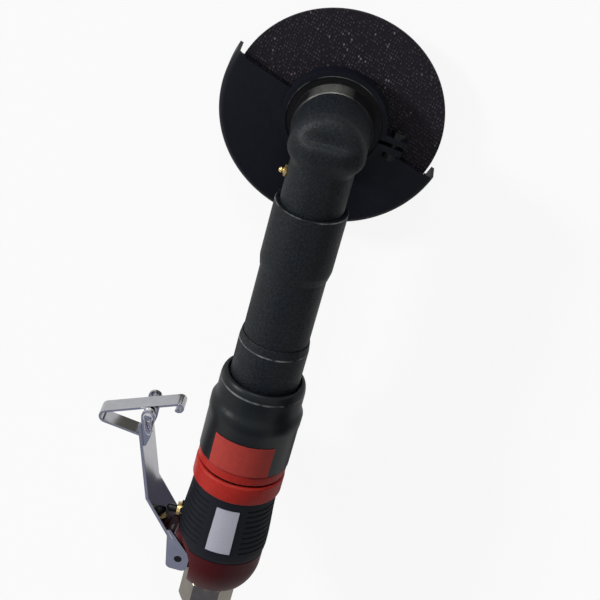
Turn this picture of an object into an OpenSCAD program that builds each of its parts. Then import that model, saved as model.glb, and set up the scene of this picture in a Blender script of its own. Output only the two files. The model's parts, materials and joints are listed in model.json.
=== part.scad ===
// Air cut-off grinder with a long neck: hexagonal inlet, lever throttle with a safety latch,
// vane motor, extension tube with a drive shaft, bevel head, half guard and cutting disc.
// X runs from the inlet to the head, Y towards the lever, Z away from the disc.
// The origin is the centre of the inlet's mouth. Lengths are millimetres, angles are degrees.

/* [Air inlet] */
// Width across the flats of the inlet hexagon
inlet_flats = 24; // [22:0.5:28]
// Length of the inlet hexagon
inlet_len = 21.8; // [18:0.2:26]
// Length of the hexagon's coned front end
inlet_cone = 5.2; // [3:0.2:7]
// Radius at the front end of that cone
inlet_cone_r = 10; // [9.8:0.1:11]
// Bore radius of the inlet thread
inlet_bore_r = 5.9; // [5:0.1:6.8]
// Depth of the inlet thread
inlet_thread = 12; // [9:0.5:14]
// Radius of the shank that clamps the rear cap
shank_r = 9; // [8.2:0.1:9.6]
// Length of the shank inside the valve body
shank_grip = 4; // [3:0.1:4.2]
// Radius of the air way
air_r = 4.5; // [3:0.1:4.8]
// Thickness of the inlet screen
screen_t = 0.8; // [0.5:0.1:1.2]
// Cord radius of the inlet seal
inlet_seal_r = 0.9; // [0.6:0.1:1.2]

/* [Rear cap] */
// Length of the rear cap
cap_len = 21.2; // [19:0.2:28]
// Largest radius of the rear cap
cap_r = 22.6; // [22:0.1:24]
// Length of the cap's elliptic rounding
cap_round = 23.9; // [21:0.1:40]
// Length of the cap's straight belt
cap_belt = 7; // [5:0.5:9]
// Width of the red lip round the lever bay
bay_lip = 2.6; // [2:0.2:3]
// Radius of the scoop in front of the lever bay
bay_scoop_r = 15; // [13:0.5:18]

/* [Grip] */
// Length of the rubber grip
grip_len = 38; // [36:0.5:60]
// Radius at the front end of the grip
grip_front_r = 21.4; // [20.8:0.1:22.4]
// Radius at the swell of the grip
grip_swell_r = 23.1; // [22.6:0.1:23.4]
// Radius at the rear end of the grip
grip_rear_r = 22.3; // [21.6:0.1:22.6]
// Distance from the rear end to the swell
grip_swell_at = 4.4; // [3:0.2:12]
// Spacing of the ribs
rib_pitch = 3.2; // [2.4:0.1:4.5]
// Width of the grooves between ribs
rib_groove = 1.3; // [0.8:0.1:1.8]
// Depth of the grooves
rib_depth = 0.6; // [0.3:0.05:0.9]
// Half angle of the smooth panel
panel_angle = 27; // [20:1:40]
// Length of the name plate
badge_len = 25.6; // [16:0.2:30]
// Half angle of the name plate
badge_angle = 15.5; // [8:0.5:18]
// Thickness of the name plate
badge_t = 0.5; // [0.3:0.1:0.8]

/* [Exhaust collar] */
// Length of the exhaust collar
collar_len = 11; // [8:0.5:16]
// Radius of the exhaust collar
collar_r = 22.6; // [21.8:0.1:24]
// Width of the exhaust slot
slot_w = 1.2; // [0.8:0.1:2]
// Length of the lock ring
lock_ring_len = 5.4; // [4:0.2:8]
// Radius of the lock ring
lock_ring_r = 22.3; // [21.6:0.1:24]

/* [Motor housing] */
// Radius of the housing barrel
housing_r = 22.7; // [22:0.1:25]
// Radius of the bead at the barrel's front end
bead_r = 23; // [22.8:0.1:25.4]
// Length of the bead
bead_len = 5; // [3:0.5:7]
// Length of the shoulder
shoulder_len = 4; // [2:0.5:6]
// Radius of the housing's nose
nose_r = 21.2; // [20.4:0.1:22.4]
// Length of the nose from shoulder to mouth
nose_len = 13.3; // [11:0.1:20]
// Length of the rounded lip
lip_len = 6; // [3:0.5:7]
// Radius of the open mouth
mouth_r = 18.5; // [18:0.1:19.2]
// Depth of the open mouth
mouth_depth = 4.3; // [4:0.1:9]
// Wall of the skirt under the exhaust collar
skirt_wall = 1.8; // [1.2:0.1:2.2]
// Length of the label plate
label_len = 17.2; // [10:0.2:20]
// Angle of the label plate towards the lever
label_up = 43; // [20:1:60]
// Angle of the label plate away from the lever
label_down = 38; // [20:1:60]
// Thickness of the label plate
label_t = 0.3; // [0.2:0.05:0.6]

/* [Air motor] */
// Radius of the motor's cylinder
motor_r = 17.8; // [17.4:0.1:18.2]
// Length of the motor's cylinder
cylinder_len = 32; // [28:0.5:44]
// Bore radius of the cylinder
cylinder_bore_r = 13.4; // [12.6:0.1:13.6]
// Offset of the cylinder's bore
cylinder_offset = 1.5; // [0.8:0.1:1.8]
// Thickness of the end plates
end_plate_t = 7; // [6.5:0.5:10]
// Length of the valve body ahead of the grip
core_nose = 2; // [1:0.5:4]
// Length of the valve body's screwed front end
core_thread = 5; // [4:0.5:8]
// Radius of the rotor's shaft
rotor_shaft_r = 4; // [3.4:0.1:4.4]
// Number of vanes
vane_count = 5; // [4:1:6]
// Thickness of a vane
vane_t = 1.6; // [1.2:0.1:2.2]
// Depth of a vane
vane_depth = 6; // [4:0.5:6.5]
// Outer radius of the motor bearings
motor_bearing_r = 8; // [7:0.1:9]
// Width of the motor bearings
motor_bearing_w = 5; // [4:0.5:6]

/* [Extension] */
// Length of the lower sleeve inside the housing's thread
sleeve_grip = 12; // [9:0.5:16]
// Visible length of the lower sleeve
lower_sleeve_len = 23.7; // [14:0.1:30]
// Radius of the lower sleeve
lower_sleeve_r = 17.2; // [16.9:0.05:17.4]
// Radius of the extension tube
tube_r = 16.1; // [15.6:0.1:16.4]
// Visible length of the extension tube
tube_len = 36.2; // [24:0.1:80]
// Length of the upper sleeve
upper_sleeve_len = 35; // [32:0.5:50]
// Radius of the upper sleeve
upper_sleeve_r = 17.4; // [17:0.1:19]
// Length of the sleeves' chamfers
sleeve_chamfer = 4.5; // [2:0.5:8]
// Length of the lip that holds the neck
sleeve_lip = 8; // [5:0.5:12]
// Thickness of the tube's rear flange
flange_t = 3; // [2:0.5:5]
// Radius of the drive shaft
shaft_r = 5; // [4.6:0.1:7]
// Radius of the tube's inner bore
tube_bore_r = 9.5; // [8.5:0.1:10.2]
// Outer radius of the shaft bearings
shaft_bearing_r = 11; // [10.6:0.1:12]
// Width of the shaft bearings
shaft_bearing_w = 7; // [5:0.5:9]
// Radius of the shaft coupling
coupling_r = 7; // [6:0.1:8]
// Length of the shaft coupling
coupling_len = 12; // [9:0.5:14]

/* [Angle head] */
// Distance from the upper sleeve to the spindle axis
neck_reach = 29.8; // [26:0.1:40]
// Radius of the neck
neck_r = 15.1; // [13:0.1:15.4]
// Radius of the neck's bore
neck_bore_r = 10; // [9:0.1:10.4]
// Length of the neck's flange inside the sleeve
neck_flange = 7; // [4:0.5:10]
// Radius of the head
head_r = 18; // [17:0.1:20]
// Height of the head's top above the tool axis
head_top = 16; // [15:0.1:20]
// Height of the head's dome
head_dome = 13; // [6:0.5:15]
// Depth of the head's lower face under the tool axis
head_bottom = 17; // [16.5:0.1:20]
// Radius of the head's cavity
cavity_r = 14.4; // [13.6:0.1:15]
// Distance from the spindle axis to the grease fitting
fitting_back = 16.8; // [16:0.2:22]
// Radius of the grease fitting's shank
fitting_r = 2; // [1.6:0.1:2.4]
// Height of the grease fitting's hexagon
fitting_hex = 1.2; // [0.8:0.1:2.4]

/* [Bevel gears] */
// Teeth of the pinion
pinion_teeth = 14; // [13:1:15]
// Teeth of the bevel gear
gear_teeth = 21; // [20:1:22]
// Module of the gears
gear_module = 1; // [0.96:0.01:1.03]
// Face width of the gears along the cone
gear_face = 5; // [3:0.25:5.5]
// Length of the pinion's hub
pinion_hub_len = 6; // [4:0.5:7]
// Height of the bevel gear's hub
gear_hub = 2.7; // [2:0.1:3]

/* [Spindle and disc] */
// Radius of the spindle at the gear
spindle_r = 4.5; // [4:0.1:4.7]
// Radius of the spindle's upper journal
journal_r = 3; // [2.5:0.1:3.4]
// Radius of the spindle under its lower bearing
spindle_collar_r = 6; // [5.6:0.1:7]
// Wall of the upper spindle bearing
upper_bearing_wall = 4.5; // [3.5:0.1:5]
// Width of the upper spindle bearing
upper_bearing_w = 5; // [4:0.5:5]
// Wall of the lower spindle bearing
lower_bearing_wall = 5; // [4:0.1:5.4]
// Width of the lower spindle bearing
lower_bearing_w = 6; // [4:0.5:6]
// Radius of the arbor
arbor_r = 4.75; // [4.4:0.05:5.2]
// Radius of the cutting disc
disc_r = 50.8; // [44:0.2:52]
// Thickness of the cutting disc
disc_t = 1.6; // [1:0.1:3]
// Distance from the guard's plate down to the disc's middle
disc_drop = 4.4; // [4:0.1:8]
// Radius of the disc flanges
disc_flange_r = 12.5; // [10:0.5:16]
// Thickness of the disc flanges
disc_flange_t = 3.2; // [2.4:0.1:3.6]
// Radius of the disc screw's thread
disc_screw_r = 3; // [2.5:0.1:3.4]
// Radius of the disc screw's head
disc_screw_head_r = 6; // [5:0.1:8]
// Height of the disc screw's head
disc_screw_head = 4.5; // [3:0.1:6]

/* [Bearing cap and guard] */
// Radius of the bright ring of the bearing cap
cap_ring_r = 19; // [18:0.1:20]
// Height of the bright ring
cap_ring_h = 11; // [8:0.5:11.5]
// Radius of the guard's seat on the bearing cap
guard_seat_r = 22.45; // [21.5:0.05:24]
// Height of the guard's seat
guard_seat_h = 5; // [3:0.5:5.2]
// Wall of the guard's collar
guard_collar_wall = 2.5; // [2:0.1:4]
// Height of the guard's collar over the plate
guard_collar_h = 6.5; // [6.2:0.1:9]
// Gap between the disc's rim and the guard's wall
guard_gap = 2.7; // [2.2:0.1:6]
// Distance from the bearing cap's foot down to the guard's plate
guard_drop = 1; // [0.8:0.1:1.6]
// Sheet thickness of the guard
guard_t = 1.6; // [1:0.1:2]
// Height of the guard's rim
guard_rim_h = 13; // [8:0.5:20]
// Outer rounding of the guard's rim
guard_round = 3; // [2.2:0.1:5]
// Direction of the guard's middle
guard_angle = 160.4; // [140:0.2:200]
// Angle that the rim runs past the plate at each end
rim_past = 1; // [0.5:0.5:15]
// Direction of the clamp's slit
clamp_angle = -98; // [-104:1:-80]
// Reach of the clamp's ears from the spindle axis
clamp_reach = 35; // [33:0.5:40]
// Thickness of a clamp ear
clamp_ear_t = 3; // [2:0.2:5]
// Width of the clamp's slit
clamp_slit = 2; // [1:0.2:3]
// Radius of the clamp screw
clamp_screw_r = 2; // [1.5:0.1:2.2]

/* [Throttle lever] */
// Distance from the cap's front end to the lever's pivot
pivot_back = 13.5; // [12:0.5:15]
// Height of the lever's pivot over the tool axis
pivot_y = 18.3; // [17.6:0.1:20]
// Radius of the lever's pin
lever_pin_r = 2; // [1.5:0.1:2.6]
// Half width of the lever
lever_half = 10; // [9.6:0.1:12]
// Sheet thickness of the lever
lever_t = 1.5; // [1:0.1:1.8]
// Slope of the lever's lower web
lower_slope = 38; // [37:0.5:44]
// Slope of the lever's upper web
upper_slope = 16; // [13:0.5:20]
// Distance from the pivot line to the lower web's outer face
web_offset = 2; // [1.2:0.1:2.2]
// Distance along the lower web from the pivot to its start
web_start = 13; // [12:0.2:19]
// Distance along the lower web from the pivot to the bend
web_bend = 40.4; // [36:0.2:48]
// Length of the upper web
upper_web = 36; // [26:0.5:38]
// Length of the web's prongs beside the latch
web_fork = 8; // [5:0.5:8.5]
// Half width of the lever's web
web_half = 11.5; // [10.5:0.1:12.5]
// Lean of the web across its width
web_lean = 3; // [0:0.5:4]
// Length over which the ears join the web
ear_join = 5; // [4:0.5:8]
// Reach of the ears behind the pivot
ear_back = 7; // [5:0.5:9]
// Reach of the ears under the pivot
ear_drop = 5.5; // [4.6:0.1:5.8]
// Reach of the ears over the pivot
ear_rise = 5.7; // [4.6:0.1:7]
// Rounding of the ears' corners
ear_round = 3; // [1:0.1:4]

/* [Safety latch] */
// Distance along the upper web from the bend to the latch pin
latch_at = 47.9; // [44:0.1:54]
// Depth of the latch pin under the web's outer face
latch_drop = 5.2; // [4.8:0.1:6]
// Radius of the latch pin
latch_pin_r = 1.5; // [1.2:0.1:1.8]
// Half length of the latch pin over its heads
latch_pin_half = 11.3; // [11:0.1:15]
// Half width of the latch
latch_half = 4.7; // [4:0.1:5]
// Sheet thickness of the latch
latch_t = 1.2; // [0.8:0.1:1.5]
// Lean of the latch towards the inlet
latch_lean = 23.5; // [15:0.5:30]
// Length of the latch under its pin
latch_down = 17.2; // [14:0.2:20]
// Length of the latch over its pin
latch_up = 26.6; // [20:0.2:32]
// Outer radius of the latch's fold
fold_r = 3.6; // [2.6:0.1:5]
// Spread between the latch's two legs
fold_spread = 31; // [29:0.5:36]
// Length of the latch's return leg
return_len = 19.5; // [12:0.5:19.8]
// Outer radius of the latch's rolled end
hook_r = 2.7; // [2:0.1:3]
// Angle through which the end is rolled
hook_turn = 240; // [180:5:255]
// Mean radius of the latch spring
latch_coil_r = 2.35; // [2.3:0.05:3]
// Wire radius of the latch spring
latch_wire_r = 0.3; // [0.2:0.05:0.35]

/* [Throttle valve] */
// Distance from the cap's front end to the valve
valve_ahead = 10; // [9.8:0.1:13]
// Radius of the valve stem
stem_r = 2; // [1.6:0.1:2.2]
// Radius of the valve bush
bush_r = 4; // [3.4:0.1:4.2]
// Height of the bush over the tool axis
bush_top = 25.4; // [24.4:0.1:25.6]
// Radius of the rubber boss round the bush
boss_r = 5.2; // [4.8:0.1:5.6]
// Height of the rubber boss over the tool axis
boss_top = 23.6; // [23.2:0.1:23.7]
// Height of the valve's seat over the tool axis
seat_y = 5; // [4.6:0.1:6]
// Radius of the valve's head
valve_head_r = 4.6; // [4:0.1:5]
// Thickness of the valve's head
valve_head_t = 2.5; // [1.5:0.1:3]
// Thickness of the valve's washer
washer_t = 0.9; // [0.6:0.1:1.4]
// Mean radius of the valve spring
valve_coil_r = 3.6; // [3:0.1:3.8]
// Wire radius of the valve spring
valve_wire_r = 0.45; // [0.3:0.05:0.6]
// Turns of the valve spring
valve_turns = 7; // [4:1:8]

/* [Clearances] */
// Radial clearance of a shaft in its bearing
run_gap = 0.03; // [0.01:0.01:0.08]
// Gap between neighbours that move
free_gap = 0.3; // [0.2:0.05:0.4]
// Gap at a closed seat or a touching pair
seat_gap = 0.1; // [0.05:0.05:0.2]

/* [Hidden] */
$fn = 64;
cut = 1;

// Seat of the inlet screen behind the thread
screen_r = (inlet_bore_r + air_r) / 2;

// Corners of the inlet hexagon and the slope of its coned front end
inlet_corner_r = inlet_flats / 2 / cos(30);
cone_slope = (inlet_corner_r - inlet_cone_r) / inlet_cone;

// Stations along X
cap_x = inlet_len;
grip_x = cap_x + cap_len;
collar_x = grip_x + grip_len;
slot_x = collar_x + collar_len;
ring_x = slot_x + slot_w;
barrel_x = ring_x + lock_ring_len;
motor_x = collar_x + core_nose;
skirt_x = motor_x - core_thread;
cylinder_x = motor_x + end_plate_t;
front_plate_x = cylinder_x + cylinder_len;
tube_x = front_plate_x + end_plate_t;
mouth_x = tube_x + sleeve_grip + mouth_depth;
sleeve_end_x = mouth_x + lower_sleeve_len;
upper_x = sleeve_end_x + tube_len;
neck_x = upper_x + upper_sleeve_len;
spindle_x = neck_x + neck_reach;
neck_lip_x = neck_x - sleeve_lip;
tube_end_x = neck_lip_x - neck_flange;

// Name plate: its start on the grip and the glue line under it
badge_from = (grip_len - badge_len) * 0.62;
glue = 0.02;

// Valve body, skirt and rotor
core_r = motor_r + 0.8;
skirt_r = motor_r + skirt_wall;
exhaust_x = slot_x + slot_w / 2;
exhaust_r = 1.6;
groove_half = exhaust_r + 0.4;
groove_depth = 0.8;
rotor_r = cylinder_bore_r - cylinder_offset - 0.2;
port_y = (motor_bearing_r + motor_r) / 2 + 0.9;
port_r = 1.8;
dowel_r = 1.2;
dowel_z = (cylinder_bore_r + motor_r) / 2 - 0.2;
dowel_bite = 2;

// Coupling and shaft bearings
coupling_x = tube_x + 1;
joint_x = coupling_x + coupling_len / 2;
grub_r = 1.5;
circlip_t = 1;
circlip_x = coupling_x + coupling_len + 1;
rear_bearing_x = circlip_x + circlip_t;
rear_seat_end_x = rear_bearing_x + shaft_bearing_w;
front_bearing_x = tube_end_x - shaft_bearing_w;
shaft_end_r = rotor_shaft_r;

// Bevel gears: both cones meet at the apex on the spindle axis
pinion_r = gear_module * pinion_teeth / 2;
gear_r = gear_module * gear_teeth / 2;
cone_len = norm([pinion_r, gear_r]);
gear_scale = 1 - gear_face / cone_len;
addendum = 0.7 * gear_module;
pinion_dedendum = 0.75 * gear_module;
gear_dedendum = 1.3 * gear_module;
pinion_back_x = spindle_x - gear_r;
pinion_hub_x = pinion_back_x - pinion_hub_len;
pinion_hub_r = pinion_r - pinion_dedendum - 0.2;
gear_hub_r = gear_r - gear_dedendum - 1.2;

// Levels along Z of the spindle stack
upper_bearing_r = journal_r + upper_bearing_wall;
upper_bearing_z = 8;
lower_bearing_r = spindle_collar_r + lower_bearing_wall;
lower_journal_r = spindle_collar_r - 1;
cap_spigot_z = -pinion_r - gear_hub - free_gap;
lower_bearing_z = cap_spigot_z - lower_bearing_w;
spindle_collar_z = lower_bearing_z - free_gap;
cap_hole_r = spindle_collar_r + 2;
cap_ring_z = -head_bottom - cap_ring_h;
cap_bottom_z = cap_ring_z - guard_seat_h;
guard_depth = guard_drop - cap_bottom_z;
disc_depth = guard_depth + guard_t + disc_drop;
seal_h = 4;
seal_z = cap_bottom_z + 3;
disc_z = -disc_depth - disc_t / 2;
inner_flange_z = -disc_depth + disc_t / 2;
shoulder_z = inner_flange_z + disc_flange_t;
outer_flange_z = disc_z - disc_flange_t;
arbor_end_z = disc_z - disc_flange_t / 2;
screw_end_z = shoulder_z + 5;

// Guard
guard_r = disc_r + guard_gap + guard_t;
guard_bore_r = guard_seat_r + 0.05;
guard_collar_r = guard_bore_r + guard_collar_wall;
guard_plate_z = -guard_depth - guard_t;
clamp_screw_z = -guard_depth + guard_collar_h / 2;
clamp_screw_at = (guard_collar_r + clamp_reach) / 2;
clamp_half = clamp_slit / 2 + clamp_ear_t;
clamp_inset = 0.5;
rim_lip = 2;

// Lever, latch and valve in the XY plane
pivot = [grip_x - pivot_back, pivot_y];
lower_dir = [cos(lower_slope), sin(lower_slope)];
lower_out = [-lower_dir.y, lower_dir.x];
upper_dir = [cos(upper_slope), sin(upper_slope)];
upper_out = [-upper_dir.y, upper_dir.x];
bend_out = (lower_out + upper_out) / (1 + lower_out * upper_out);
web_foot = pivot - web_offset * lower_out;
web_a = web_foot + web_start * lower_dir;
web_b = web_foot + web_bend * lower_dir;
web_c = web_b + upper_web * upper_dir;
web_end = web_c + web_fork * upper_dir;
latch_pin_at = web_b + latch_at * upper_dir - latch_drop * upper_out;
latch_ear_r = latch_pin_r + 2;
ear_inner = lever_half - lever_t;
lug_half = ear_inner - free_gap;
ear_sink = lever_t / 2;
fork_half = ear_inner + free_gap;
ear_depth = lever_t + (web_half + lever_half) * tan(web_lean);
lug_r = 5;
bay_floor = pivot_y - ear_drop - 1.2;
bay_at = [pivot.x + 2, bay_floor + bay_scoop_r];
latch_face = latch_pin_r + seat_gap + latch_t;
latch_lug_r = latch_pin_r + 1.4;
latch_coil_turns = 1.5;
latch_coil_pitch = (ear_inner - latch_half - 2 * free_gap - 2 * latch_wire_r) / latch_coil_turns;
valve_x = grip_x + valve_ahead;
web_inner = web_offset + lever_t;
web_over_valve = pivot_y + (valve_x - pivot.x) * tan(lower_slope)
  - web_inner / cos(lower_slope) - web_half * tan(web_lean);
stem_ball_y = web_over_valve - (stem_r + free_gap) / cos(lower_slope);
bush_bottom = port_y + port_r + 0.4;
seat_land = 2;
chamber_r = valve_head_r + 0.9;
plug_inner_y = -seat_y - 9;
plug_outer_y = 0.2 - sqrt(core_r * core_r - chamber_r * chamber_r);
valve_top = seat_y - seat_gap;
head_bottom_y = valve_top - washer_t - valve_head_t;

// Radius of the grip at a distance from its rear end
function grip_r(d) = d < grip_swell_at
  ? grip_swell_r - (grip_swell_r - grip_rear_r) * pow(1 - d / grip_swell_at, 2)
  : grip_front_r + (grip_swell_r - grip_front_r)
    * (0.5 + 0.5 * cos(180 * (d - grip_swell_at) / (grip_len - grip_swell_at)));

// Points of an arc from one angle to another
function arc(at, r, from, to, n = 6) =
  [for (i = [0 : n]) let (a = from + (to - from) * i / n) at + r * [cos(a), sin(a)]];

// Outline of a toothed wheel: root, pitch and tip of each flank as shares of the tooth's pitch
function teeth(n, root, pitch, tip) = [
  for (i = [0 : n - 1])
    for (p = [[root, -0.31], [pitch, -0.2], [tip, -0.11], [tip, 0.11], [pitch, 0.2], [root, 0.31]])
      let (a = (i + p[1]) * 360 / n) p[0] * [cos(a), sin(a)]
];

// Unit vector
function unit(v) = v / norm(v);

// Directions of a path at its points
function tangents(path) = [
  for (i = [0 : len(path) - 1])
    unit(path[min(i + 1, len(path) - 1)] - path[max(i - 1, 0)])
];

// Part of a vector that is square to a direction
function square_to(v, dir) = unit(v - (v * dir) * dir);

// Side vectors carried along a path without twist
function carried(dirs, first) = [
  for (i = 0, n = square_to(first, dirs[0]); i < len(dirs);
       i = i + 1, n = i < len(dirs) ? square_to(n, dirs[i]) : n) n
];

// Least gap between parts of a wire that lie more than half a turn apart
function wire_gap(path, wire_r, skip) = min([
  for (i = [0 : len(path) - 1])
    for (j = [i + skip : 1 : len(path) - 1]) norm(path[i] - path[j]) - 2 * wire_r
]);

// Round wire along a path
module wire(path, wire_r, first) {
  sides = 6;
  dirs = tangents(path);
  a = carried(dirs, first);
  last = len(path) - 1;
  points = [
    for (i = [0 : last])
      for (k = [0 : sides - 1])
        path[i] + wire_r * (cos(360 * k / sides) * a[i] + sin(360 * k / sides) * cross(dirs[i], a[i]))
  ];
  walls = [
    for (i = [0 : last - 1])
      for (k = [0 : sides - 1])
        let (p = i * sides + k, q = i * sides + (k + 1) % sides)
          each [[p, q + sides, q], [p, p + sides, q + sides]]
  ];
  caps = [
    for (k = [1 : sides - 2]) each [
      [0, k, k + 1],
      [last * sides, last * sides + k + 1, last * sides + k]
    ]
  ];
  polyhedron(points, concat(walls, caps), convexity = 10);
}

// Frame whose Z runs along the tool from a station
module on_x(x) {
  translate([x, 0, 0]) rotate([0, 90, 0]) children();
}

// Frame whose Z runs towards the lever
module on_y(x, y) {
  translate([x, y, 0]) rotate([-90, 0, 0]) children();
}

// Frame on the spindle axis
module on_spindle(z) {
  translate([spindle_x, 0, z]) children();
}

// Plain tube along Z
module tube(h, r_out, r_in) {
  difference() {
    cylinder(h = h, r = r_out);
    translate([0, 0, -cut]) cylinder(h = h + 2 * cut, r = r_in);
  }
}

// Rod along Z that runs past both ends of a cut
module bore(h, r) {
  translate([0, 0, -cut]) cylinder(h = h + 2 * cut, r = r);
}

// Ball bearing as one ring with a shallow groove for its shield on each face
module bearing(w, r_out, r_in) {
  rim = (r_out - r_in) * 0.3;
  shield = 0.25;
  difference() {
    tube(w, r_out, r_in);
    for (z = [-cut, w - shield])
      translate([0, 0, z]) tube(shield + cut, r_out - rim, r_in + rim);
  }
}

// Hexagonal prism along Z with chamfered corners at both ends
module hexagon(flats, h, chamfer) {
  corner_r = flats / 2 / cos(30);
  intersection() {
    cylinder(h = h, r = corner_r, $fn = 6);
    rotate_extrude()
      polygon([
        [0, 0], [corner_r - chamfer, 0], [corner_r, chamfer / 2],
        [corner_r, h - chamfer / 2], [corner_r - chamfer, h], [0, h]
      ]);
  }
}

// Lever bay as a solid to cut away, grown by a margin
module bay(margin) {
  wide = 4 * cap_r;
  translate([bay_at.x, bay_at.y, -wide / 2])
    cylinder(h = wide, r = bay_scoop_r + margin);
  translate([-cut, bay_floor - margin, -wide / 2])
    cube([bay_at.x + cut, wide, wide]);
}

module inlet_bush() color("silver")
  difference() {
    union() {
      intersection() {
        on_x(0) rotate([0, 0, 30]) hexagon(inlet_flats, inlet_len, 1.6);
        on_x(0)
          rotate_extrude()
            polygon([
              [0, -cut], [inlet_corner_r + cut, -cut],
              [inlet_corner_r + cut, inlet_len - inlet_cone - cut / cone_slope],
              [inlet_cone_r - cut * cone_slope, inlet_len + cut], [0, inlet_len + cut]
            ]);
      }
      on_x(inlet_len - cut) cylinder(h = cap_len + shank_grip + cut, r = shank_r);
    }
    on_x(-cut) cylinder(h = inlet_thread + cut, r = inlet_bore_r);
    on_x(inlet_thread - cut) cylinder(h = screen_t + cut, r = screen_r);
    on_x(0) bore(inlet_len + cap_len + shank_grip, air_r);
    on_x(cap_x) seal_ring(shank_r, inlet_seal_r);
  }

module inlet_screen() color("gainsboro")
  difference() {
    on_x(inlet_thread) cylinder(h = screen_t, r = screen_r);
    for (i = [-2 : 2])
      for (j = [-2 : 2])
        if (norm([i, j]) < 2.5)
          translate([0, i * air_r * 0.36, j * air_r * 0.36])
            on_x(inlet_thread) bore(screen_t, air_r * 0.13);
  }

// Seal ring round a shaft, in the corner at the start of a seat
module seal_ring(r, cord_r) {
  translate([0, 0, cord_r])
    rotate_extrude()
      translate([r, 0]) circle(r = cord_r, $fn = 24);
}

module inlet_seal() color("dimgray")
  on_x(cap_x) seal_ring(shank_r, inlet_seal_r);

module rear_cap() color("firebrick")
  difference() {
    union() {
      difference() {
        union() {
          on_x(cap_x) rotate_extrude() polygon(cap_outline());
          intersection() {
            on_x(grip_x) tube(grip_len / 2, cap_r, core_r);
            bay(bay_lip);
          }
        }
        bay(0);
      }
      lever_lug();
    }
    on_x(cap_x) bore(cap_len, shank_r);
    on_x(cap_x) seal_ring(shank_r, inlet_seal_r);
    on_y(valve_x, 0) cylinder(h = boss_top + cut, r = bush_r);
    translate([pivot.x, pivot.y, -lug_half]) bore(2 * lug_half, lever_pin_r);
  }

// Half outline of the cap: an elliptic rear and a straight belt
function cap_outline() = concat(
  [[0, 0]],
  [for (i = [0 : 12])
    let (z = (cap_len - cap_belt) * i / 12)
      [cap_r * sqrt(1 - pow((cap_len - cap_belt - z) / cap_round, 2)), z]],
  [[cap_r, cap_len], [0, cap_len]]
);

// Lug between the lever's ears
module lever_lug() {
  root = bay_floor - cut;
  translate([pivot.x, pivot.y, -lug_half]) cylinder(h = 2 * lug_half, r = lug_r);
  translate([pivot.x - lug_r, root, -lug_half])
    cube([2 * lug_r, pivot.y - root, 2 * lug_half]);
}

module lever_pin() color("dimgray")
  translate([pivot.x, pivot.y, -lever_half + free_gap])
    cylinder(h = 2 * (lever_half - free_gap), r = lever_pin_r);

module valve_body() color("slategray")
  difference() {
    union() {
      on_x(grip_x) cylinder(h = skirt_x - grip_x, r = core_r);
      on_x(skirt_x) cylinder(h = motor_x - skirt_x, r = motor_r);
    }
    bay(0);
    on_x(grip_x - cut) cylinder(h = shank_grip + cut, r = shank_r);
    on_x(grip_x) cylinder(h = valve_ahead, r = air_r);
    on_y(valve_x, seat_y + seat_land) cylinder(h = core_r, r = bush_r);
    on_y(valve_x, 0) cylinder(h = core_r, r = stem_r + 0.9);
    on_y(valve_x, -core_r - cut) cylinder(h = core_r + cut + seat_y, r = chamber_r);
    translate([0, port_y, 0]) on_x(valve_x) cylinder(h = motor_x - valve_x + cut, r = port_r);
    locating_holes();
  }

// Two dowels that line up the motor's plates and its cylinder
module locating_holes() {
  for (side = [-1, 1])
    translate([0, 0, side * dowel_z])
      on_x(motor_x - dowel_bite)
        cylinder(h = tube_x - motor_x, r = dowel_r);
}

module locating_pins() color("silver") locating_holes();

module grip_sleeve() color("#1c1c1e")
  difference() {
    union() {
      on_x(grip_x) rotate_extrude() polygon(grip_outline(0, grip_len, core_r, 0));
      on_y(valve_x, core_r) cylinder(h = boss_top - core_r, r = boss_r);
    }
    on_x(skirt_x) cylinder(h = collar_x - skirt_x + cut, r = skirt_r);
    bay(bay_lip);
    on_x(grip_x) bore(grip_len, core_r);
    on_y(valve_x, 0) cylinder(h = boss_top + cut, r = bush_r);
    ribs();
  }

// Half outline of a shell on the grip between two distances from its rear end
function grip_outline(from, to, r_in, rise) = concat(
  [for (i = [0 : 16]) let (d = from + (to - from) * i / 16) [grip_r(d) + rise, d]],
  r_in > 0
    ? [[r_in, to], [r_in, from]]
    : [for (i = [16 : -1 : 0]) let (d = from + (to - from) * i / 16) [grip_r(d) + glue, d]]
);

// Grooves round the grip, all but the smooth panel on its upper side
module ribs() {
  first = bay_at.x + bay_scoop_r + bay_lip - grip_x + rib_pitch / 2;
  last = grip_len - rib_pitch;
  for (d = [first : rib_pitch : last])
    on_x(grip_x + d)
      rotate([0, 0, 180 + panel_angle])
        rotate_extrude(angle = 360 - 2 * panel_angle)
          polygon([
            [grip_r(d) - rib_depth, -rib_groove / 4], [grip_r(d) - rib_depth, rib_groove / 4],
            [grip_r(d) + cut, rib_groove / 2 + cut / 2], [grip_r(d) + cut, -rib_groove / 2 - cut / 2]
          ]);
}

module badge_plate() color("gainsboro")
  on_x(grip_x)
    rotate([0, 0, 180 - badge_angle])
      rotate_extrude(angle = 2 * badge_angle)
        polygon(grip_outline(badge_from, badge_from + badge_len, 0, badge_t));

module valve_bush() color("goldenrod")
  on_y(valve_x, bush_bottom) tube(bush_top - bush_bottom, bush_r, stem_r + run_gap);

module valve_stem() color("dimgray") {
  on_y(valve_x, head_bottom_y) cylinder(h = valve_head_t, r = valve_head_r);
  on_y(valve_x, head_bottom_y) cylinder(h = stem_ball_y - head_bottom_y, r = stem_r);
  translate([valve_x, stem_ball_y, 0]) sphere(r = stem_r);
}

module valve_washer() color("dimgray")
  on_y(valve_x, valve_top - washer_t) tube(washer_t, valve_head_r, stem_r);

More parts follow.
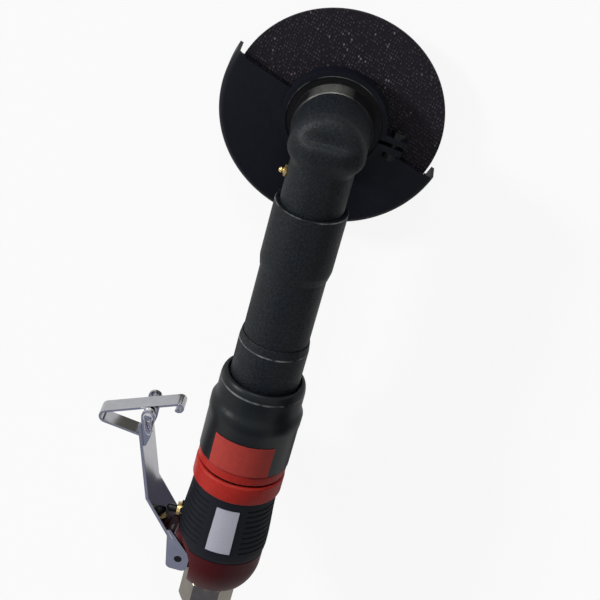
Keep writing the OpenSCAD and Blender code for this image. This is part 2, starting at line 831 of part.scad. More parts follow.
module valve_spring() color("silver") {
  low = plug_inner_y + valve_wire_r + seat_gap;
  high = head_bottom_y - valve_wire_r - seat_gap;
  path = [
    for (i = [0 : 8 * valve_turns])
      [valve_x + valve_coil_r * cos(45 * i), low + (high - low) * i / (8 * valve_turns),
       valve_coil_r * sin(45 * i)]
  ];
  echo(valve_spring_gap = wire_gap(path, valve_wire_r, 5));
  wire(path, valve_wire_r, [1, 0, 0]);
}

module valve_plug() color("darkgoldenrod")
  difference() {
    on_y(valve_x, plug_outer_y) cylinder(h = plug_inner_y - plug_outer_y, r = chamber_r);
    on_y(valve_x, plug_outer_y - cut) cylinder(h = 2.5, r = 2.2, $fn = 6);
  }

module exhaust_collar() color("#c8372d")
  on_x(collar_x)
    rotate_extrude()
      polygon([
        [skirt_r, 0], [collar_r - 1, 0], [collar_r, 1], [collar_r, collar_len - 0.8],
        [collar_r - 0.8, collar_len], [skirt_r + 0.8, collar_len],
        [skirt_r + 0.8, collar_len - 3], [skirt_r, collar_len - 3.8]
      ]);

module collar_lock_ring() color("#c8372d")
  on_x(ring_x)
    rotate_extrude()
      polygon([
        [skirt_r, 0], [lock_ring_r - 0.8, 0], [lock_ring_r, 0.8],
        [lock_ring_r, lock_ring_len], [skirt_r, lock_ring_len]
      ]);

module motor_housing() color("#2a2c2f")
  difference() {
    union() {
      on_x(skirt_x) cylinder(h = barrel_x - skirt_x, r = skirt_r);
      on_x(barrel_x) rotate_extrude() polygon(housing_outline());
    }
    on_x(skirt_x - cut) cylinder(h = tube_x - skirt_x + cut, r = motor_r);
    on_x(tube_x - cut) cylinder(h = mouth_x - tube_x, r = lower_sleeve_r);
    on_x(mouth_x - mouth_depth) cylinder(h = mouth_depth + cut, r = mouth_r);
    for (i = [0 : 11])
      rotate([30 * i, 0, 0])
        translate([exhaust_x, 0, motor_r - cut]) cylinder(h = skirt_wall + 2 * cut, r = exhaust_r);
  }

// Half outline of the housing from the lock ring to its rounded mouth
function housing_outline() =
  let (
    end = mouth_x - barrel_x,
    shoulder = end - nose_len,
    lip_r = nose_r - mouth_r - 0.8
  )
  concat(
    [[0, 0], [housing_r - 0.6, 0], [housing_r, 0.6]],
    [[housing_r, shoulder - shoulder_len - bead_len - 1], [bead_r, shoulder - shoulder_len - bead_len]],
    [[bead_r, shoulder - shoulder_len], [nose_r, shoulder], [nose_r, end - lip_len]],
    [for (i = [1 : 6]) [nose_r - lip_r * (1 - cos(15 * i)), end - lip_len * (1 - sin(15 * i))]],
    [[0, end]]
  );

module label_plate() color("#d2453c")
  on_x(barrel_x + 0.9)
    rotate([0, 0, 180 - label_up])
      rotate_extrude(angle = label_up + label_down)
        translate([housing_r, 0]) square([label_t, label_len]);

// End plate of the motor along Z with a bearing seat at its far end from the cylinder
module end_plate() {
  difference() {
    cylinder(h = end_plate_t, r = motor_r);
    translate([0, 0, -cut]) cylinder(h = motor_bearing_w + cut, r = motor_bearing_r);
    bore(end_plate_t, rotor_shaft_r + 0.6);
  }
}

module rear_end_plate() color("lightslategray")
  difference() {
    on_x(motor_x) end_plate();
    translate([0, port_y, 0]) on_x(motor_x) bore(end_plate_t, port_r);
    locating_holes();
  }

module front_end_plate() color("lightslategray")
  difference() {
    on_x(tube_x) mirror([0, 0, 1]) end_plate();
    locating_holes();
  }

module motor_cylinder() color("darkgray")
  difference() {
    on_x(cylinder_x) cylinder(h = cylinder_len, r = motor_r);
    translate([0, -cylinder_offset, 0]) on_x(cylinder_x) bore(cylinder_len, cylinder_bore_r);
    translate([0, port_y, 0]) on_x(cylinder_x - cut) cylinder(h = cylinder_len / 2 + cut, r = port_r);
    translate([cylinder_x + cylinder_len / 4, 0, -port_r / 2])
      cube([cylinder_len / 4, port_y, port_r]);
    on_x(exhaust_x - groove_half) tube(2 * groove_half, motor_r + cut, motor_r - groove_depth);
    for (a = [-30 : 30 : 30])
      rotate([a, 0, 0])
        on_y(exhaust_x, -motor_r - cut) cylinder(h = motor_r, r = exhaust_r);
    locating_holes();
  }

module rear_motor_bearing() color("silver")
  on_x(motor_x) bearing(motor_bearing_w, motor_bearing_r, rotor_shaft_r + run_gap);

module front_motor_bearing() color("silver")
  on_x(tube_x - motor_bearing_w) bearing(motor_bearing_w, motor_bearing_r, rotor_shaft_r + run_gap);

module rotor() color("gray")
  difference() {
    union() {
      on_x(cylinder_x + free_gap) cylinder(h = cylinder_len - 2 * free_gap, r = rotor_r);
      on_x(motor_x + free_gap) cylinder(h = joint_x - motor_x - free_gap, r = rotor_shaft_r);
    }
    vane_set();
  }

// Vanes pushed home in the rotor's slots
module vane_set() {
  for (i = [0 : vane_count - 1])
    rotate([360 * i / vane_count, 0, 0])
      translate([cylinder_x + free_gap, -vane_t / 2, rotor_r - vane_depth - 0.2])
        cube([cylinder_len - 2 * free_gap, vane_t, vane_depth]);
}

module vanes() color("saddlebrown") vane_set();

module shaft_coupling() color("darkgray")
  difference() {
    on_x(coupling_x) tube(coupling_len, coupling_r, rotor_shaft_r);
    grub_screws();
  }

// Grub screws, one on each side of the joint in the coupling
module grub_screws() {
  for (side = [-1, 1])
    translate([joint_x + side * coupling_len / 4, 0, rotor_shaft_r])
      cylinder(h = coupling_r - rotor_shaft_r - 0.6, r = grub_r);
}

module coupling_screws() color("dimgray") grub_screws();

module drive_shaft() color("silver") {
  on_x(joint_x) cylinder(h = pinion_back_x + gear_face / 2 - joint_x, r = shaft_end_r);
  on_x(rear_seat_end_x + free_gap)
    cylinder(h = front_bearing_x - rear_seat_end_x - 2 * free_gap, r = shaft_r);
}

module extension_tube() color("#2b2e30")
  difference() {
    union() {
      on_x(tube_x) cylinder(h = flange_t, r = lower_sleeve_r);
      on_x(tube_x) cylinder(h = tube_end_x - tube_x, r = tube_r);
    }
    on_x(tube_x - cut) cylinder(h = rear_seat_end_x - tube_x + cut, r = shaft_bearing_r);
    on_x(tube_x) bore(tube_end_x - tube_x, tube_bore_r);
    on_x(front_bearing_x) cylinder(h = shaft_bearing_w + cut, r = shaft_bearing_r);
    on_x(circlip_x) cylinder(h = circlip_t, r = shaft_bearing_r + 0.8);
  }

module lower_sleeve() color("#25282a")
  difference() {
    on_x(tube_x + flange_t)
      rotate_extrude()
        polygon([
          [0, 0], [lower_sleeve_r, 0],
          [lower_sleeve_r, sleeve_end_x - tube_x - flange_t - sleeve_chamfer],
          [tube_r + 0.2, sleeve_end_x - tube_x - flange_t], [0, sleeve_end_x - tube_x - flange_t]
        ]);
    on_x(tube_x) bore(sleeve_end_x - tube_x, tube_r);
  }

module upper_sleeve() color("#25282a")
  difference() {
    on_x(upper_x)
      rotate_extrude()
        polygon([
          [0, 0], [tube_r + 0.2, 0], [upper_sleeve_r, sleeve_chamfer],
          [upper_sleeve_r, upper_sleeve_len - 0.6], [upper_sleeve_r - 0.6, upper_sleeve_len],
          [0, upper_sleeve_len]
        ]);
    on_x(upper_x - cut) cylinder(h = neck_lip_x - upper_x + cut, r = tube_r);
    on_x(upper_x) bore(upper_sleeve_len, neck_r);
  }

module bearing_circlip() color("dimgray")
  difference() {
    on_x(circlip_x) tube(circlip_t, shaft_bearing_r + 0.8, shaft_bearing_r - 2);
    translate([circlip_x - cut, -2, -2 * shaft_bearing_r])
      cube([circlip_t + 2 * cut, 4, 2 * shaft_bearing_r]);
  }

module rear_shaft_bearing() color("silver")
  on_x(rear_bearing_x) bearing(shaft_bearing_w, shaft_bearing_r, shaft_end_r + run_gap);

module front_shaft_bearing() color("silver")
  on_x(front_bearing_x) bearing(shaft_bearing_w, shaft_bearing_r, shaft_end_r + run_gap);

module angle_head() color("#25282a")
  difference() {
    union() {
      on_spindle(0)
        rotate_extrude()
          polygon(concat(
            [[0, -head_bottom], [head_r - 0.8, -head_bottom], [head_r, -head_bottom + 0.8]],
            [for (i = [0 : 12])
              [head_r * cos(7.5 * i), head_top - head_dome + head_dome * sin(7.5 * i)]]
          ));
      on_x(tube_end_x) cylinder(h = spindle_x - tube_end_x, r = neck_r);
      on_x(tube_end_x) cylinder(h = neck_flange, r = tube_r);
    }
    on_x(tube_end_x - cut) cylinder(h = spindle_x - tube_end_x, r = neck_bore_r);
    on_spindle(-head_bottom - cut)
      cylinder(h = head_bottom + upper_bearing_z - 0.6 + cut, r = cavity_r - 2.4);
    on_spindle(-head_bottom - cut) cylinder(h = head_bottom + cut, r = cavity_r);
    on_spindle(0) cylinder(h = upper_bearing_z + upper_bearing_w, r = upper_bearing_r);
    on_y(spindle_x - fitting_back, 0) cylinder(h = head_r, r = fitting_r);
  }

module grease_fitting() color("goldenrod")
  on_y(spindle_x - fitting_back, 0) {
    translate([0, 0, neck_bore_r + 1]) cylinder(h = neck_r - neck_bore_r, r = fitting_r);
    translate([0, 0, neck_r]) hexagon(2.6 * fitting_r, fitting_hex, 0.4);
    translate([0, 0, neck_r + fitting_hex])
      rotate_extrude()
        polygon(concat(
          [[0, 0], [0.75 * fitting_r, 0], [0.5 * fitting_r, 0.6]],
          arc([0, 1.2], 0.7 * fitting_r, -30, 60),
          [[0, 1.2 + 0.7 * fitting_r * sin(60)]]
        ));
  }

module drive_pinion() color("slategray")
  difference() {
    union() {
      on_x(pinion_back_x)
        linear_extrude(height = gear_r * gear_face / cone_len, scale = gear_scale)
          polygon(teeth(pinion_teeth, pinion_r - pinion_dedendum, pinion_r, pinion_r + addendum));
      on_x(pinion_hub_x) cylinder(h = pinion_back_x - pinion_hub_x, r = pinion_hub_r);
    }
    on_x(pinion_hub_x - cut)
      cylinder(h = pinion_back_x + gear_face / 2 - pinion_hub_x + cut, r = shaft_end_r);
  }

module bevel_gear() color("slategray")
  difference() {
    union() {
      on_spindle(-pinion_r)
        rotate([0, 0, 180 + 180 / gear_teeth])
          linear_extrude(height = pinion_r * gear_face / cone_len, scale = gear_scale)
            polygon(teeth(gear_teeth, gear_r - gear_dedendum, gear_r, gear_r + addendum));
      on_spindle(-pinion_r - gear_hub) cylinder(h = gear_hub, r = gear_hub_r);
    }
    on_spindle(-pinion_r - gear_hub) bore(gear_hub + pinion_r, spindle_r);
  }

module spindle() color("silver")
  difference() {
    union() {
      on_spindle(upper_bearing_z - 0.5)
        cylinder(h = upper_bearing_w + 0.5 - free_gap, r = journal_r);
      on_spindle(cap_spigot_z) cylinder(h = upper_bearing_z - 0.5 - cap_spigot_z, r = spindle_r);
      on_spindle(spindle_collar_z)
        cylinder(h = cap_spigot_z + free_gap - spindle_collar_z, r = lower_journal_r);
      on_spindle(shoulder_z) cylinder(h = spindle_collar_z - shoulder_z, r = spindle_collar_r);
      on_spindle(arbor_end_z) cylinder(h = shoulder_z - arbor_end_z, r = arbor_r);
    }
    on_spindle(arbor_end_z - cut) cylinder(h = screw_end_z - arbor_end_z + cut, r = disc_screw_r);
  }

module upper_spindle_bearing() color("silver")
  on_spindle(upper_bearing_z) bearing(upper_bearing_w, upper_bearing_r, journal_r + run_gap);

module lower_spindle_bearing() color("silver")
  on_spindle(lower_bearing_z) bearing(lower_bearing_w, lower_bearing_r, lower_journal_r + run_gap);

module bearing_cap() color("gainsboro")
  difference() {
    union() {
      on_spindle(-head_bottom) cylinder(h = cap_spigot_z + head_bottom, r = cavity_r);
      on_spindle(cap_ring_z)
        rotate_extrude()
          polygon([
            [0, 0], [cap_ring_r, 0], [cap_ring_r, cap_ring_h - 0.8],
            [cap_ring_r - 0.8, cap_ring_h], [0, cap_ring_h]
          ]);
      on_spindle(cap_bottom_z) cylinder(h = guard_seat_h, r = guard_seat_r);
    }
    on_spindle(lower_bearing_z) cylinder(h = lower_bearing_w + cut, r = lower_bearing_r);
    on_spindle(cap_bottom_z) bore(head_bottom + cap_ring_h, cap_hole_r);
  }

module spindle_seal() color("dimgray")
  on_spindle(seal_z) tube(seal_h, cap_hole_r, spindle_collar_r + run_gap);

module inner_flange() color("darkgray")
  on_spindle(inner_flange_z) tube(disc_flange_t, disc_flange_r, arbor_r);

module cutting_disc() color("#2e2a30")
  on_spindle(disc_z) tube(disc_t, disc_r, arbor_r);

module outer_flange() color("darkgray")
  difference() {
    on_spindle(outer_flange_z) cylinder(h = disc_flange_t, r = disc_flange_r);
    on_spindle(arbor_end_z - seat_gap) cylinder(h = disc_flange_t, r = arbor_r);
    on_spindle(outer_flange_z) bore(disc_flange_t, disc_screw_r + seat_gap);
  }

module disc_screw() color("dimgray")
  difference() {
    union() {
      on_spindle(outer_flange_z) cylinder(h = screw_end_z - 1 - outer_flange_z, r = disc_screw_r);
      on_spindle(outer_flange_z - disc_screw_head)
        cylinder(h = disc_screw_head, r = disc_screw_head_r);
    }
    on_spindle(outer_flange_z - disc_screw_head - cut)
      cylinder(h = disc_screw_head * 0.6 + cut, r = disc_screw_head_r * 0.55, $fn = 6);
  }

module guard() color("#181a24")
  on_spindle(0)
    difference() {
      union() {
        guard_shell();
        translate([0, 0, guard_plate_z + guard_t / 2])
          cylinder(h = guard_t / 2 + guard_collar_h, r = guard_collar_r);
        rotate([0, 0, clamp_angle])
          translate([guard_seat_r, -clamp_half, -guard_depth + clamp_inset])
            cube([clamp_reach - guard_seat_r, 2 * clamp_half, guard_collar_h - 2 * clamp_inset]);
      }
      translate([0, 0, guard_plate_z]) bore(guard_t + guard_collar_h, guard_bore_r);
      rotate([0, 0, clamp_angle])
        translate([0, -clamp_slit / 2, guard_plate_z - cut])
          cube([clamp_reach + cut, clamp_slit, guard_t + guard_collar_h + 2 * cut]);
      clamp_axis(0) bore(2 * clamp_half, clamp_screw_r + seat_gap);
    }

// Half-round plate whose rim runs past its straight edge at both ends
module guard_shell() {
  difference() {
    rotate([0, 0, guard_angle - 90 - rim_past])
      rotate_extrude(angle = 180 + 2 * rim_past)
        polygon(guard_outline());
    rotate([0, 0, guard_angle])
      intersection() {
        translate([-guard_r, -guard_r, guard_plate_z - cut])
          cube([guard_r, 2 * guard_r, guard_t + 2 * cut]);
        translate([0, 0, guard_plate_z]) bore(guard_t, guard_r - guard_round - rim_lip);
      }
  }
}

// Half outline of the guard's plate and rounded rim
function guard_outline() =
  let (
    bend = [guard_r - guard_round, -guard_depth - guard_round],
    foot = -guard_depth - guard_rim_h
  )
  concat(
    [[guard_bore_r - cut, -guard_depth]],
    arc(bend, guard_round, 90, 0),
    [[guard_r, foot], [guard_r - guard_t, foot]],
    arc(bend, guard_round - guard_t, 0, 90),
    [[guard_bore_r - cut, guard_plate_z]]
  );

// Frame along the clamp screw from the outer face of the first ear
module clamp_axis(along) {
  rotate([0, 0, clamp_angle])
    translate([clamp_screw_at, -clamp_half + along, clamp_screw_z])
      rotate([-90, 0, 0]) children();
}

module guard_clamp_screw() color("dimgray")
  on_spindle(0)
    clamp_axis(0) {
      difference() {
        translate([0, 0, -1.6 * clamp_screw_r])
          cylinder(h = 1.6 * clamp_screw_r, r = 1.6 * clamp_screw_r);
        translate([0, 0, -1.6 * clamp_screw_r - cut])
          cylinder(h = clamp_screw_r + cut, r = clamp_screw_r * 0.8, $fn = 6);
      }
      cylinder(h = 2 * clamp_half + 2 * clamp_screw_r, r = clamp_screw_r);
    }

module guard_clamp_nut() color("silver")
  on_spindle(0)
    clamp_axis(2 * clamp_half)
      difference() {
        hexagon(3 * clamp_screw_r, 1.6 * clamp_screw_r, 0.4);
        bore(1.6 * clamp_screw_r, clamp_screw_r);
      }

// Side outline of the ear at the pivot, up to where it joins the web
function pivot_ear() =
  let (
    rear = pivot - [ear_back, ear_drop],
    join = web_a + ear_join * lower_dir
  )
  concat(
    arc(rear + [ear_round, ear_round], ear_round, 270, 180),
    arc([rear.x + ear_round, pivot.y + ear_rise - ear_round], ear_round, 180, 90),
    [join - ear_sink * lower_out],
    [join - ear_depth * lower_out, pivot + [3, -ear_drop]]
  );

// Side outline of the ear at the latch pin, from where it joins the web
function latch_ear() =
  let (join = web_c - ear_join * upper_dir)
  concat(
    [join - ear_sink * upper_out, web_c - ear_sink * upper_out],
    arc(latch_pin_at, latch_ear_r, upper_slope + 90, upper_slope - 90, 12),
    [web_c - latch_drop * upper_out, join - ear_depth * upper_out]
  );

// Web as a bent strip that leans across its width about its near edge and forks round the latch
module lever_web()
  multmatrix([
    [1, 0, 0, 0],
    [0, 1, tan(web_lean), -web_half * tan(web_lean)],
    [0, 0, 1, 0]
  ])
    difference() {
      translate([0, 0, -web_half])
        linear_extrude(height = 2 * web_half)
          polygon([
            web_a, web_b, web_end,
            web_end - lever_t * upper_out, web_b - lever_t * bend_out, web_a - lever_t * lower_out
          ]);
      translate([web_c.x, web_c.y, -fork_half])
        rotate([0, 0, upper_slope])
          translate([0, -lever_t - cut, 0])
            cube([web_fork + cut, lever_t + 2 * cut, 2 * fork_half]);
    }

module throttle_lever() color("silver")
  difference() {
    union() {
      for (z = [-lever_half, ear_inner])
        translate([0, 0, z])
          linear_extrude(height = lever_t) {
            polygon(pivot_ear());
            polygon(latch_ear());
          }
      lever_web();
    }
    translate([pivot.x, pivot.y, -lever_half]) bore(2 * lever_half, lever_pin_r + run_gap);
    translate([latch_pin_at.x, latch_pin_at.y, -lever_half]) bore(2 * lever_half, latch_pin_r);
  }

module latch_pin() color("silver")
  translate([latch_pin_at.x, latch_pin_at.y, 0]) {
    translate([0, 0, -lever_half]) cylinder(h = 2 * lever_half, r = latch_pin_r);
    for (side = [0, 1])
      mirror([0, 0, side])
        translate([0, 0, lever_half])
          rotate_extrude()
            polygon(concat(
              [[0, 0], [latch_pin_r + 1.1, 0]],
              [for (i = [0 : 5])
                [(latch_pin_r + 1.1) * cos(18 * i),
                 0.6 + (latch_pin_half - lever_half - 0.6) * sin(18 * i)]]
            ));
  }

// Frame of the latch: X out of its front face, Y up its front leg, origin on the pin
module on_latch() {
  translate([latch_pin_at.x, latch_pin_at.y, 0]) rotate([0, 0, latch_lean]) children();
}

// Outline of the folded strip: hook, front leg, fold and return leg
function latch_outline() =
  let (
    fold = [latch_face - fold_r, latch_up - fold_r],
    hook = [latch_face - hook_r, hook_r - latch_down],
    end_angle = 180 - fold_spread,
    out = [cos(end_angle), sin(end_angle)],
    down = [out.y * -1, out.x],
    foot = fold + return_len * down
  )
  concat(
    arc(hook, hook_r, -hook_turn, 0, 12),
    arc(fold, fold_r, 0, end_angle, 12),
    [foot + fold_r * out, foot + (fold_r - latch_t) * out],
    arc(fold, fold_r - latch_t, end_angle, 0, 12),
    arc(hook, hook_r - latch_t, 0, -hook_turn, 12)
  );

module safety_latch() color("gainsboro")
  on_latch()
    difference() {
      union() {
        translate([0, 0, -latch_half]) linear_extrude(height = 2 * latch_half) polygon(latch_outline());
        for (z = [-latch_half, latch_half - latch_t])
          translate([0, 0, z]) {
            cylinder(h = latch_t, r = latch_lug_r);
            translate([0, -latch_lug_r, 0]) cube([latch_face - latch_t / 2, 2 * latch_lug_r, latch_t]);
          }
      }
      translate([0, 0, -latch_half]) bore(2 * latch_half, latch_pin_r + run_gap);
    }

module latch_spring() color("silver")
  on_latch() {
    low = latch_half + free_gap + latch_wire_r;
    leg_x = latch_face - latch_t - latch_wire_r - seat_gap;
    steps = 8 * latch_coil_turns;
    under = upper_slope - latch_lean + 180;
    coil = [
      for (i = [0 : steps])
        [latch_coil_r * cos(45 * i), latch_coil_r * sin(45 * i), low + latch_coil_pitch * i / 8]
    ];
    top = coil[steps];
    path = concat(
      [[leg_x, -9, low - 3], [leg_x, -9, low - 1.5], [leg_x, -8.6, low - 0.4], [leg_x, -7.8, low]],
      coil,
      [for (i = [1 : 3]) top + i * 5 * [cos(under), sin(under), 0]]
    );
    echo(latch_spring_gap = wire_gap(path, latch_wire_r, 6));
    wire(path, latch_wire_r, [1, 0.2, 0]);
  }

inlet_bush();
inlet_screen();
inlet_seal();
rear_cap();
lever_pin();
valve_body();
locating_pins();
grip_sleeve();
badge_plate();
valve_bush();
valve_stem();
valve_washer();
valve_spring();
valve_plug();
exhaust_collar();
collar_lock_ring();
motor_housing();
label_plate();
rear_end_plate();
front_end_plate();
motor_cylinder();
rear_motor_bearing();
front_motor_bearing();
rotor();
vanes();
shaft_coupling();
coupling_screws();
drive_shaft();
extension_tube();
lower_sleeve();
upper_sleeve();
bearing_circlip();
rear_shaft_bearing();
front_shaft_bearing();
angle_head();
grease_fitting();
drive_pinion();
bevel_gear();
spindle();
upper_spindle_bearing();
lower_spindle_bearing();
bearing_cap();
spindle_seal();
inner_flange();
cutting_disc();
outer_flange();
disc_screw();
guard();
guard_clamp_screw();
guard_clamp_nut();
throttle_lever();
latch_pin();
safety_latch();
latch_spring();
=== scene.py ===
"""Looks of an air cut-off grinder with a long neck: skins over the solids, finishes and a stage.

X runs from the air inlet to the head, Y towards the throttle lever and Z away from the cutting disc.
Lengths are metres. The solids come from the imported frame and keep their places.
"""

import json

import bmesh
import bpy
import numpy as np
from mathutils import Matrix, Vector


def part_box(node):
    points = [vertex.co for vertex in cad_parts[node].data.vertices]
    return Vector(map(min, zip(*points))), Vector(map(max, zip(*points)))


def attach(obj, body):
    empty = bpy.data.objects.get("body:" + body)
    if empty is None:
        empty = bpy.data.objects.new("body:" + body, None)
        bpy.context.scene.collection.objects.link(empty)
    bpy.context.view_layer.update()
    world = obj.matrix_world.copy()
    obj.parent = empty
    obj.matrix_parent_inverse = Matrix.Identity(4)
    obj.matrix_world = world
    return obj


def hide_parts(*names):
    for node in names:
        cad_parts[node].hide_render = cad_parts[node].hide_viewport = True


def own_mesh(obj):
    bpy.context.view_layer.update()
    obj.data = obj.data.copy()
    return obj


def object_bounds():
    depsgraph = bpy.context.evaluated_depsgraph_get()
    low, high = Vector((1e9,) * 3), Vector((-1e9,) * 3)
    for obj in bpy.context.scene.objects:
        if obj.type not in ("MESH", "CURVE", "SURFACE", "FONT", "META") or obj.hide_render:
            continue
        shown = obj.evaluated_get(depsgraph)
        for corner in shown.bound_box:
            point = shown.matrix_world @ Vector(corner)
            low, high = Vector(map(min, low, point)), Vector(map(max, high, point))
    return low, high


bl_info = {
    "name": "Air cut-off grinder",
    "version": (1, 0, 0),
    "blender": (4, 5, 0),
    "location": "View3D > Sidebar > Grinder",
    "description": "Skins, finishes and stage of a long-neck air cut-off grinder",
    "category": "Object",
}

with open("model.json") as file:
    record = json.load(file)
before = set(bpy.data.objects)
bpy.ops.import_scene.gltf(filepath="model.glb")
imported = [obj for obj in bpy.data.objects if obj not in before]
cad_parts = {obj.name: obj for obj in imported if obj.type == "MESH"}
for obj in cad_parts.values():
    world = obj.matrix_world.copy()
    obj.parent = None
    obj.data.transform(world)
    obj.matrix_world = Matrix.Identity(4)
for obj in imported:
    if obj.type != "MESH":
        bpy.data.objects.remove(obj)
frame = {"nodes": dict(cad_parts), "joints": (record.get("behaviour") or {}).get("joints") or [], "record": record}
CAD_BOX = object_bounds()
MM = 0.001
NODES = frame["nodes"]
SLOT_OF = {row["node"]: row["material_slot"] for row in frame["record"]["subparts"]}
JOINTS = {row["name"]: row for row in frame["joints"]}


def linear(code):
    """Linear red, green, blue and alpha of an sRGB hex colour."""
    srgb = np.array([int(code[i:i + 2], 16) for i in (1, 3, 5)]) / 255
    curve = np.where(srgb <= 0.04045, srgb / 12.92, ((srgb + 0.055) / 1.055) ** 2.4)
    return (*(float(c) for c in curve), 1.0)


def corners(node):
    """Lowest and highest corner of a solid as arrays."""
    low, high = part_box(node)
    return np.array(low), np.array(high)


SPINDLE_X = float(np.mean([c[0] for c in corners("cutting_disc")]))
HEAD_LOW, HEAD_HIGH = corners("angle_head")
UPPER_LOW, UPPER_HIGH = corners("upper_sleeve")
LOWER_LOW, LOWER_HIGH = corners("lower_sleeve")

# Shading and bevels treat edges that turn by more than this as sharp
SHARP_ANGLE = np.radians(40)
# Points nearer than this are one point
SAME_POINT = 1e-7
# Depth of the neck's seat in the upper sleeve, and the play in both sleeves
SLEEVE_LIP, SLEEVE_SEAT = 8 * MM, 0.05 * MM
# Steps left at the thin ends of the sleeves' tapers
UPPER_STEP, LOWER_STEP = 0.4 * MM, 0.5 * MM
# Head: rise of the dome over the solid's top, and depth below the neck's axis where its rear draws in
DOME_LIFT, WAIST_DEPTH = 1.5 * MM, 8 * MM
# Head: fillet round the flat, run of the barrel's swell, rounding of its front, gap at the elbow
FLAT_FILLET, SWELL_RUN, BARREL_ROUND, ELBOW_GAP = 4 * MM, 8 * MM, 3 * MM, 2 * MM
# Share of the edge rounding that each turned or cast part takes
TURNINGS = (
    (0.6, ("motor_housing", "exhaust_collar", "collar_lock_ring", "rear_cap", "inlet_bush")),
    (0.3, ("bearing_cap", "valve_bush", "grease_fitting", "guard_clamp_screw", "guard_clamp_nut")),
)
# Near and far end of the latch spring's leg and stub, in millimetres from the coil
LEG_SPAN, STUB_SPAN = (1, 12), (5, 0.8)
# Direction round the spindle, in radians from the tool's axis, at which the painted highlights on the ring and the
# guard's clamp are strongest
HIGHLIGHT_AZIMUTH = 0.28
# Size of the patches in which a coating is rubbed away and the painted highlight lines break up
PATCH_SIZE = 7 * MM
# Strength and direction of each sun, their spread, and the strength of the sky
SUNS = (("key", 2.45, (0.34, 0.88, 0.42)), ("front", 0.95, (0.90, 0.16, 0.44)))
SUN_SPREAD, SKY_STRENGTH = np.radians(10), 0.17
# Half side of the floor, and its share of plain white for the camera and for reflections
FLOOR_REACH, FLOOR_WHITE = 4.0, (0.9, 0.35)


def length(name, words, size, **more):
    """A length that a user may change."""
    return bpy.props.FloatProperty(name=name, description=words, default=size, unit="LENGTH", **more)


def colour(name, words, code):
    """A colour that a user may change."""
    return bpy.props.FloatVectorProperty(
        name=name, description=words, subtype="COLOR", size=4, min=0, max=1, default=linear(code)
    )


class GrinderSizes(bpy.types.PropertyGroup):
    """Sizes of the skins over the solids."""

    tube_radius: length("Tube radius", "Radius of the extension tube", 16.1 * MM)
    crest_radius: length("Crest radius", "Radius of the crest round the housing's mouth", 20.8 * MM)
    mouth_depth: length("Mouth depth", "Distance from the housing's end to that crest", 4.3 * MM)
    neck_radius: length("Neck radius", "Radius of the neck behind the head", 15.1 * MM)
    dome_height: length("Dome height", "Height of the head's domed top", 12 * MM)
    head_flat: length("Head flat", "Height of the flat on the head's front part", 13.5 * MM)
    barrel_front: length("Barrel front", "Reach of the gear barrel ahead of the spindle axis", 6 * MM)
    barrel_swell: length("Barrel swell", "Rise of the gear barrel above the neck", 2.2 * MM)
    head_waist: length("Head waist", "Draw-in of the head's upper part towards the neck", 7 * MM)
    head_front: length("Head front", "Reach of the head ahead of the spindle axis", 18.8 * MM)
    head_blend: length("Head blend", "Reach of the fillet between the neck and the head", 2.8 * MM)
    head_wall: length("Head wall", "Wall of the head's casting", 2.6 * MM)
    edge_round: length("Edge rounding", "Rounding of turned edges", 0.7 * MM)
    press_round: length("Pressed edge", "Rounding of pressed sheet edges", 0.35 * MM)
    coil_radius: length("Spring radius", "Mean radius of the latch spring", 2.35 * MM)
    spring_wire: length("Spring wire", "Wire radius of the latch spring", 0.35 * MM)
    spring_turns: bpy.props.IntProperty(
        name="Spring turns", description="Turns of the latch spring", default=4
    )
    lever_slope: bpy.props.FloatProperty(
        name="Lever slope", description="Slope of the lever's upper part",
        subtype="ANGLE", default=np.radians(16),
    )
    clip_length: length("Clip length", "Length of the wire clip on the latch pin", 9 * MM)
    clip_width: length("Clip width", "Width of the wire clip on the latch pin", 2.6 * MM)
    clip_wire: length("Clip wire", "Wire radius of the clip", 0.4 * MM)
    clamp_bore: length("Clamp bore", "Radius of the bore of the guard's clamp", 22.5 * MM)
    ring_band: length("Ring band", "Height of the ring's wall under the head", 10.8 * MM)
    mesh_pitch: length("Glass mesh", "Thread spacing of the disc's glass mesh", 1.4 * MM)
    sleeve_taper: length("Sleeve taper", "Length of the tapers at the sleeves' ends", 4.5 * MM)
    coat_grain: length("Coat grain", "Grain of the textured coating", 1 * MM)
    floor_drop: length("Floor drop", "Distance from the lowest point down to the floor", 1 * MM)


class GrinderColours(bpy.types.PropertyGroup):
    """Colours of the finishes."""

    coat: colour("Textured coat", "Black textured coating of the neck and head", "#0c1014")
    housing: colour("Housing", "Black satin coating of the motor housing", "#13171a")
    guard: colour("Guard", "Blue-black enamel of the guard", "#0d0f17")
    disc: colour("Disc", "Bonded abrasive of the disc", "#221f25")
    thread: colour("Glass thread", "Crossings of the disc's glass threads", "#453f49")
    glint: colour("Glint", "Brightest crossings of the disc's glass threads", "#7f7c85")
    red: colour("Red coat", "Red coating of the collar", "#a82a23")
    dark_red: colour("Dark red coat", "Dark red coating of the rear cap", "#430f13")
    film: colour("Red film", "Red film on the barrel", "#a83c35")
    rubber: colour("Rubber", "Black rubber of the grip", "#101219")
    plate: colour("Plate", "Silver plate on the grip", "#bcbdc7")
    brass: colour("Brass", "Turned brass", "#cdb277")
    chrome: colour("Chrome", "Bright plating of the lever", "#bfc0c5")
    nickel: colour("Nickel", "Bright plating of the inlet", "#857f74")
    steel: colour("Steel", "Ground steel", "#b6b8bb")
    # Painted highlight on the front of the ring under the head
    ring: colour("Ring", "Rubbed front of the ring under the head", "#8d8d88")
    # Bare metal also paints the highlight lines on the sleeves, the housing's mouth and the guard's clamp
    bare: colour("Bare metal", "Metal where a coating is rubbed away", "#8c8f8f")
    oxide: colour("Black oxide", "Blackened screws", "#151517")
    floor: colour("Floor", "Pale floor", "#f4f4f4")


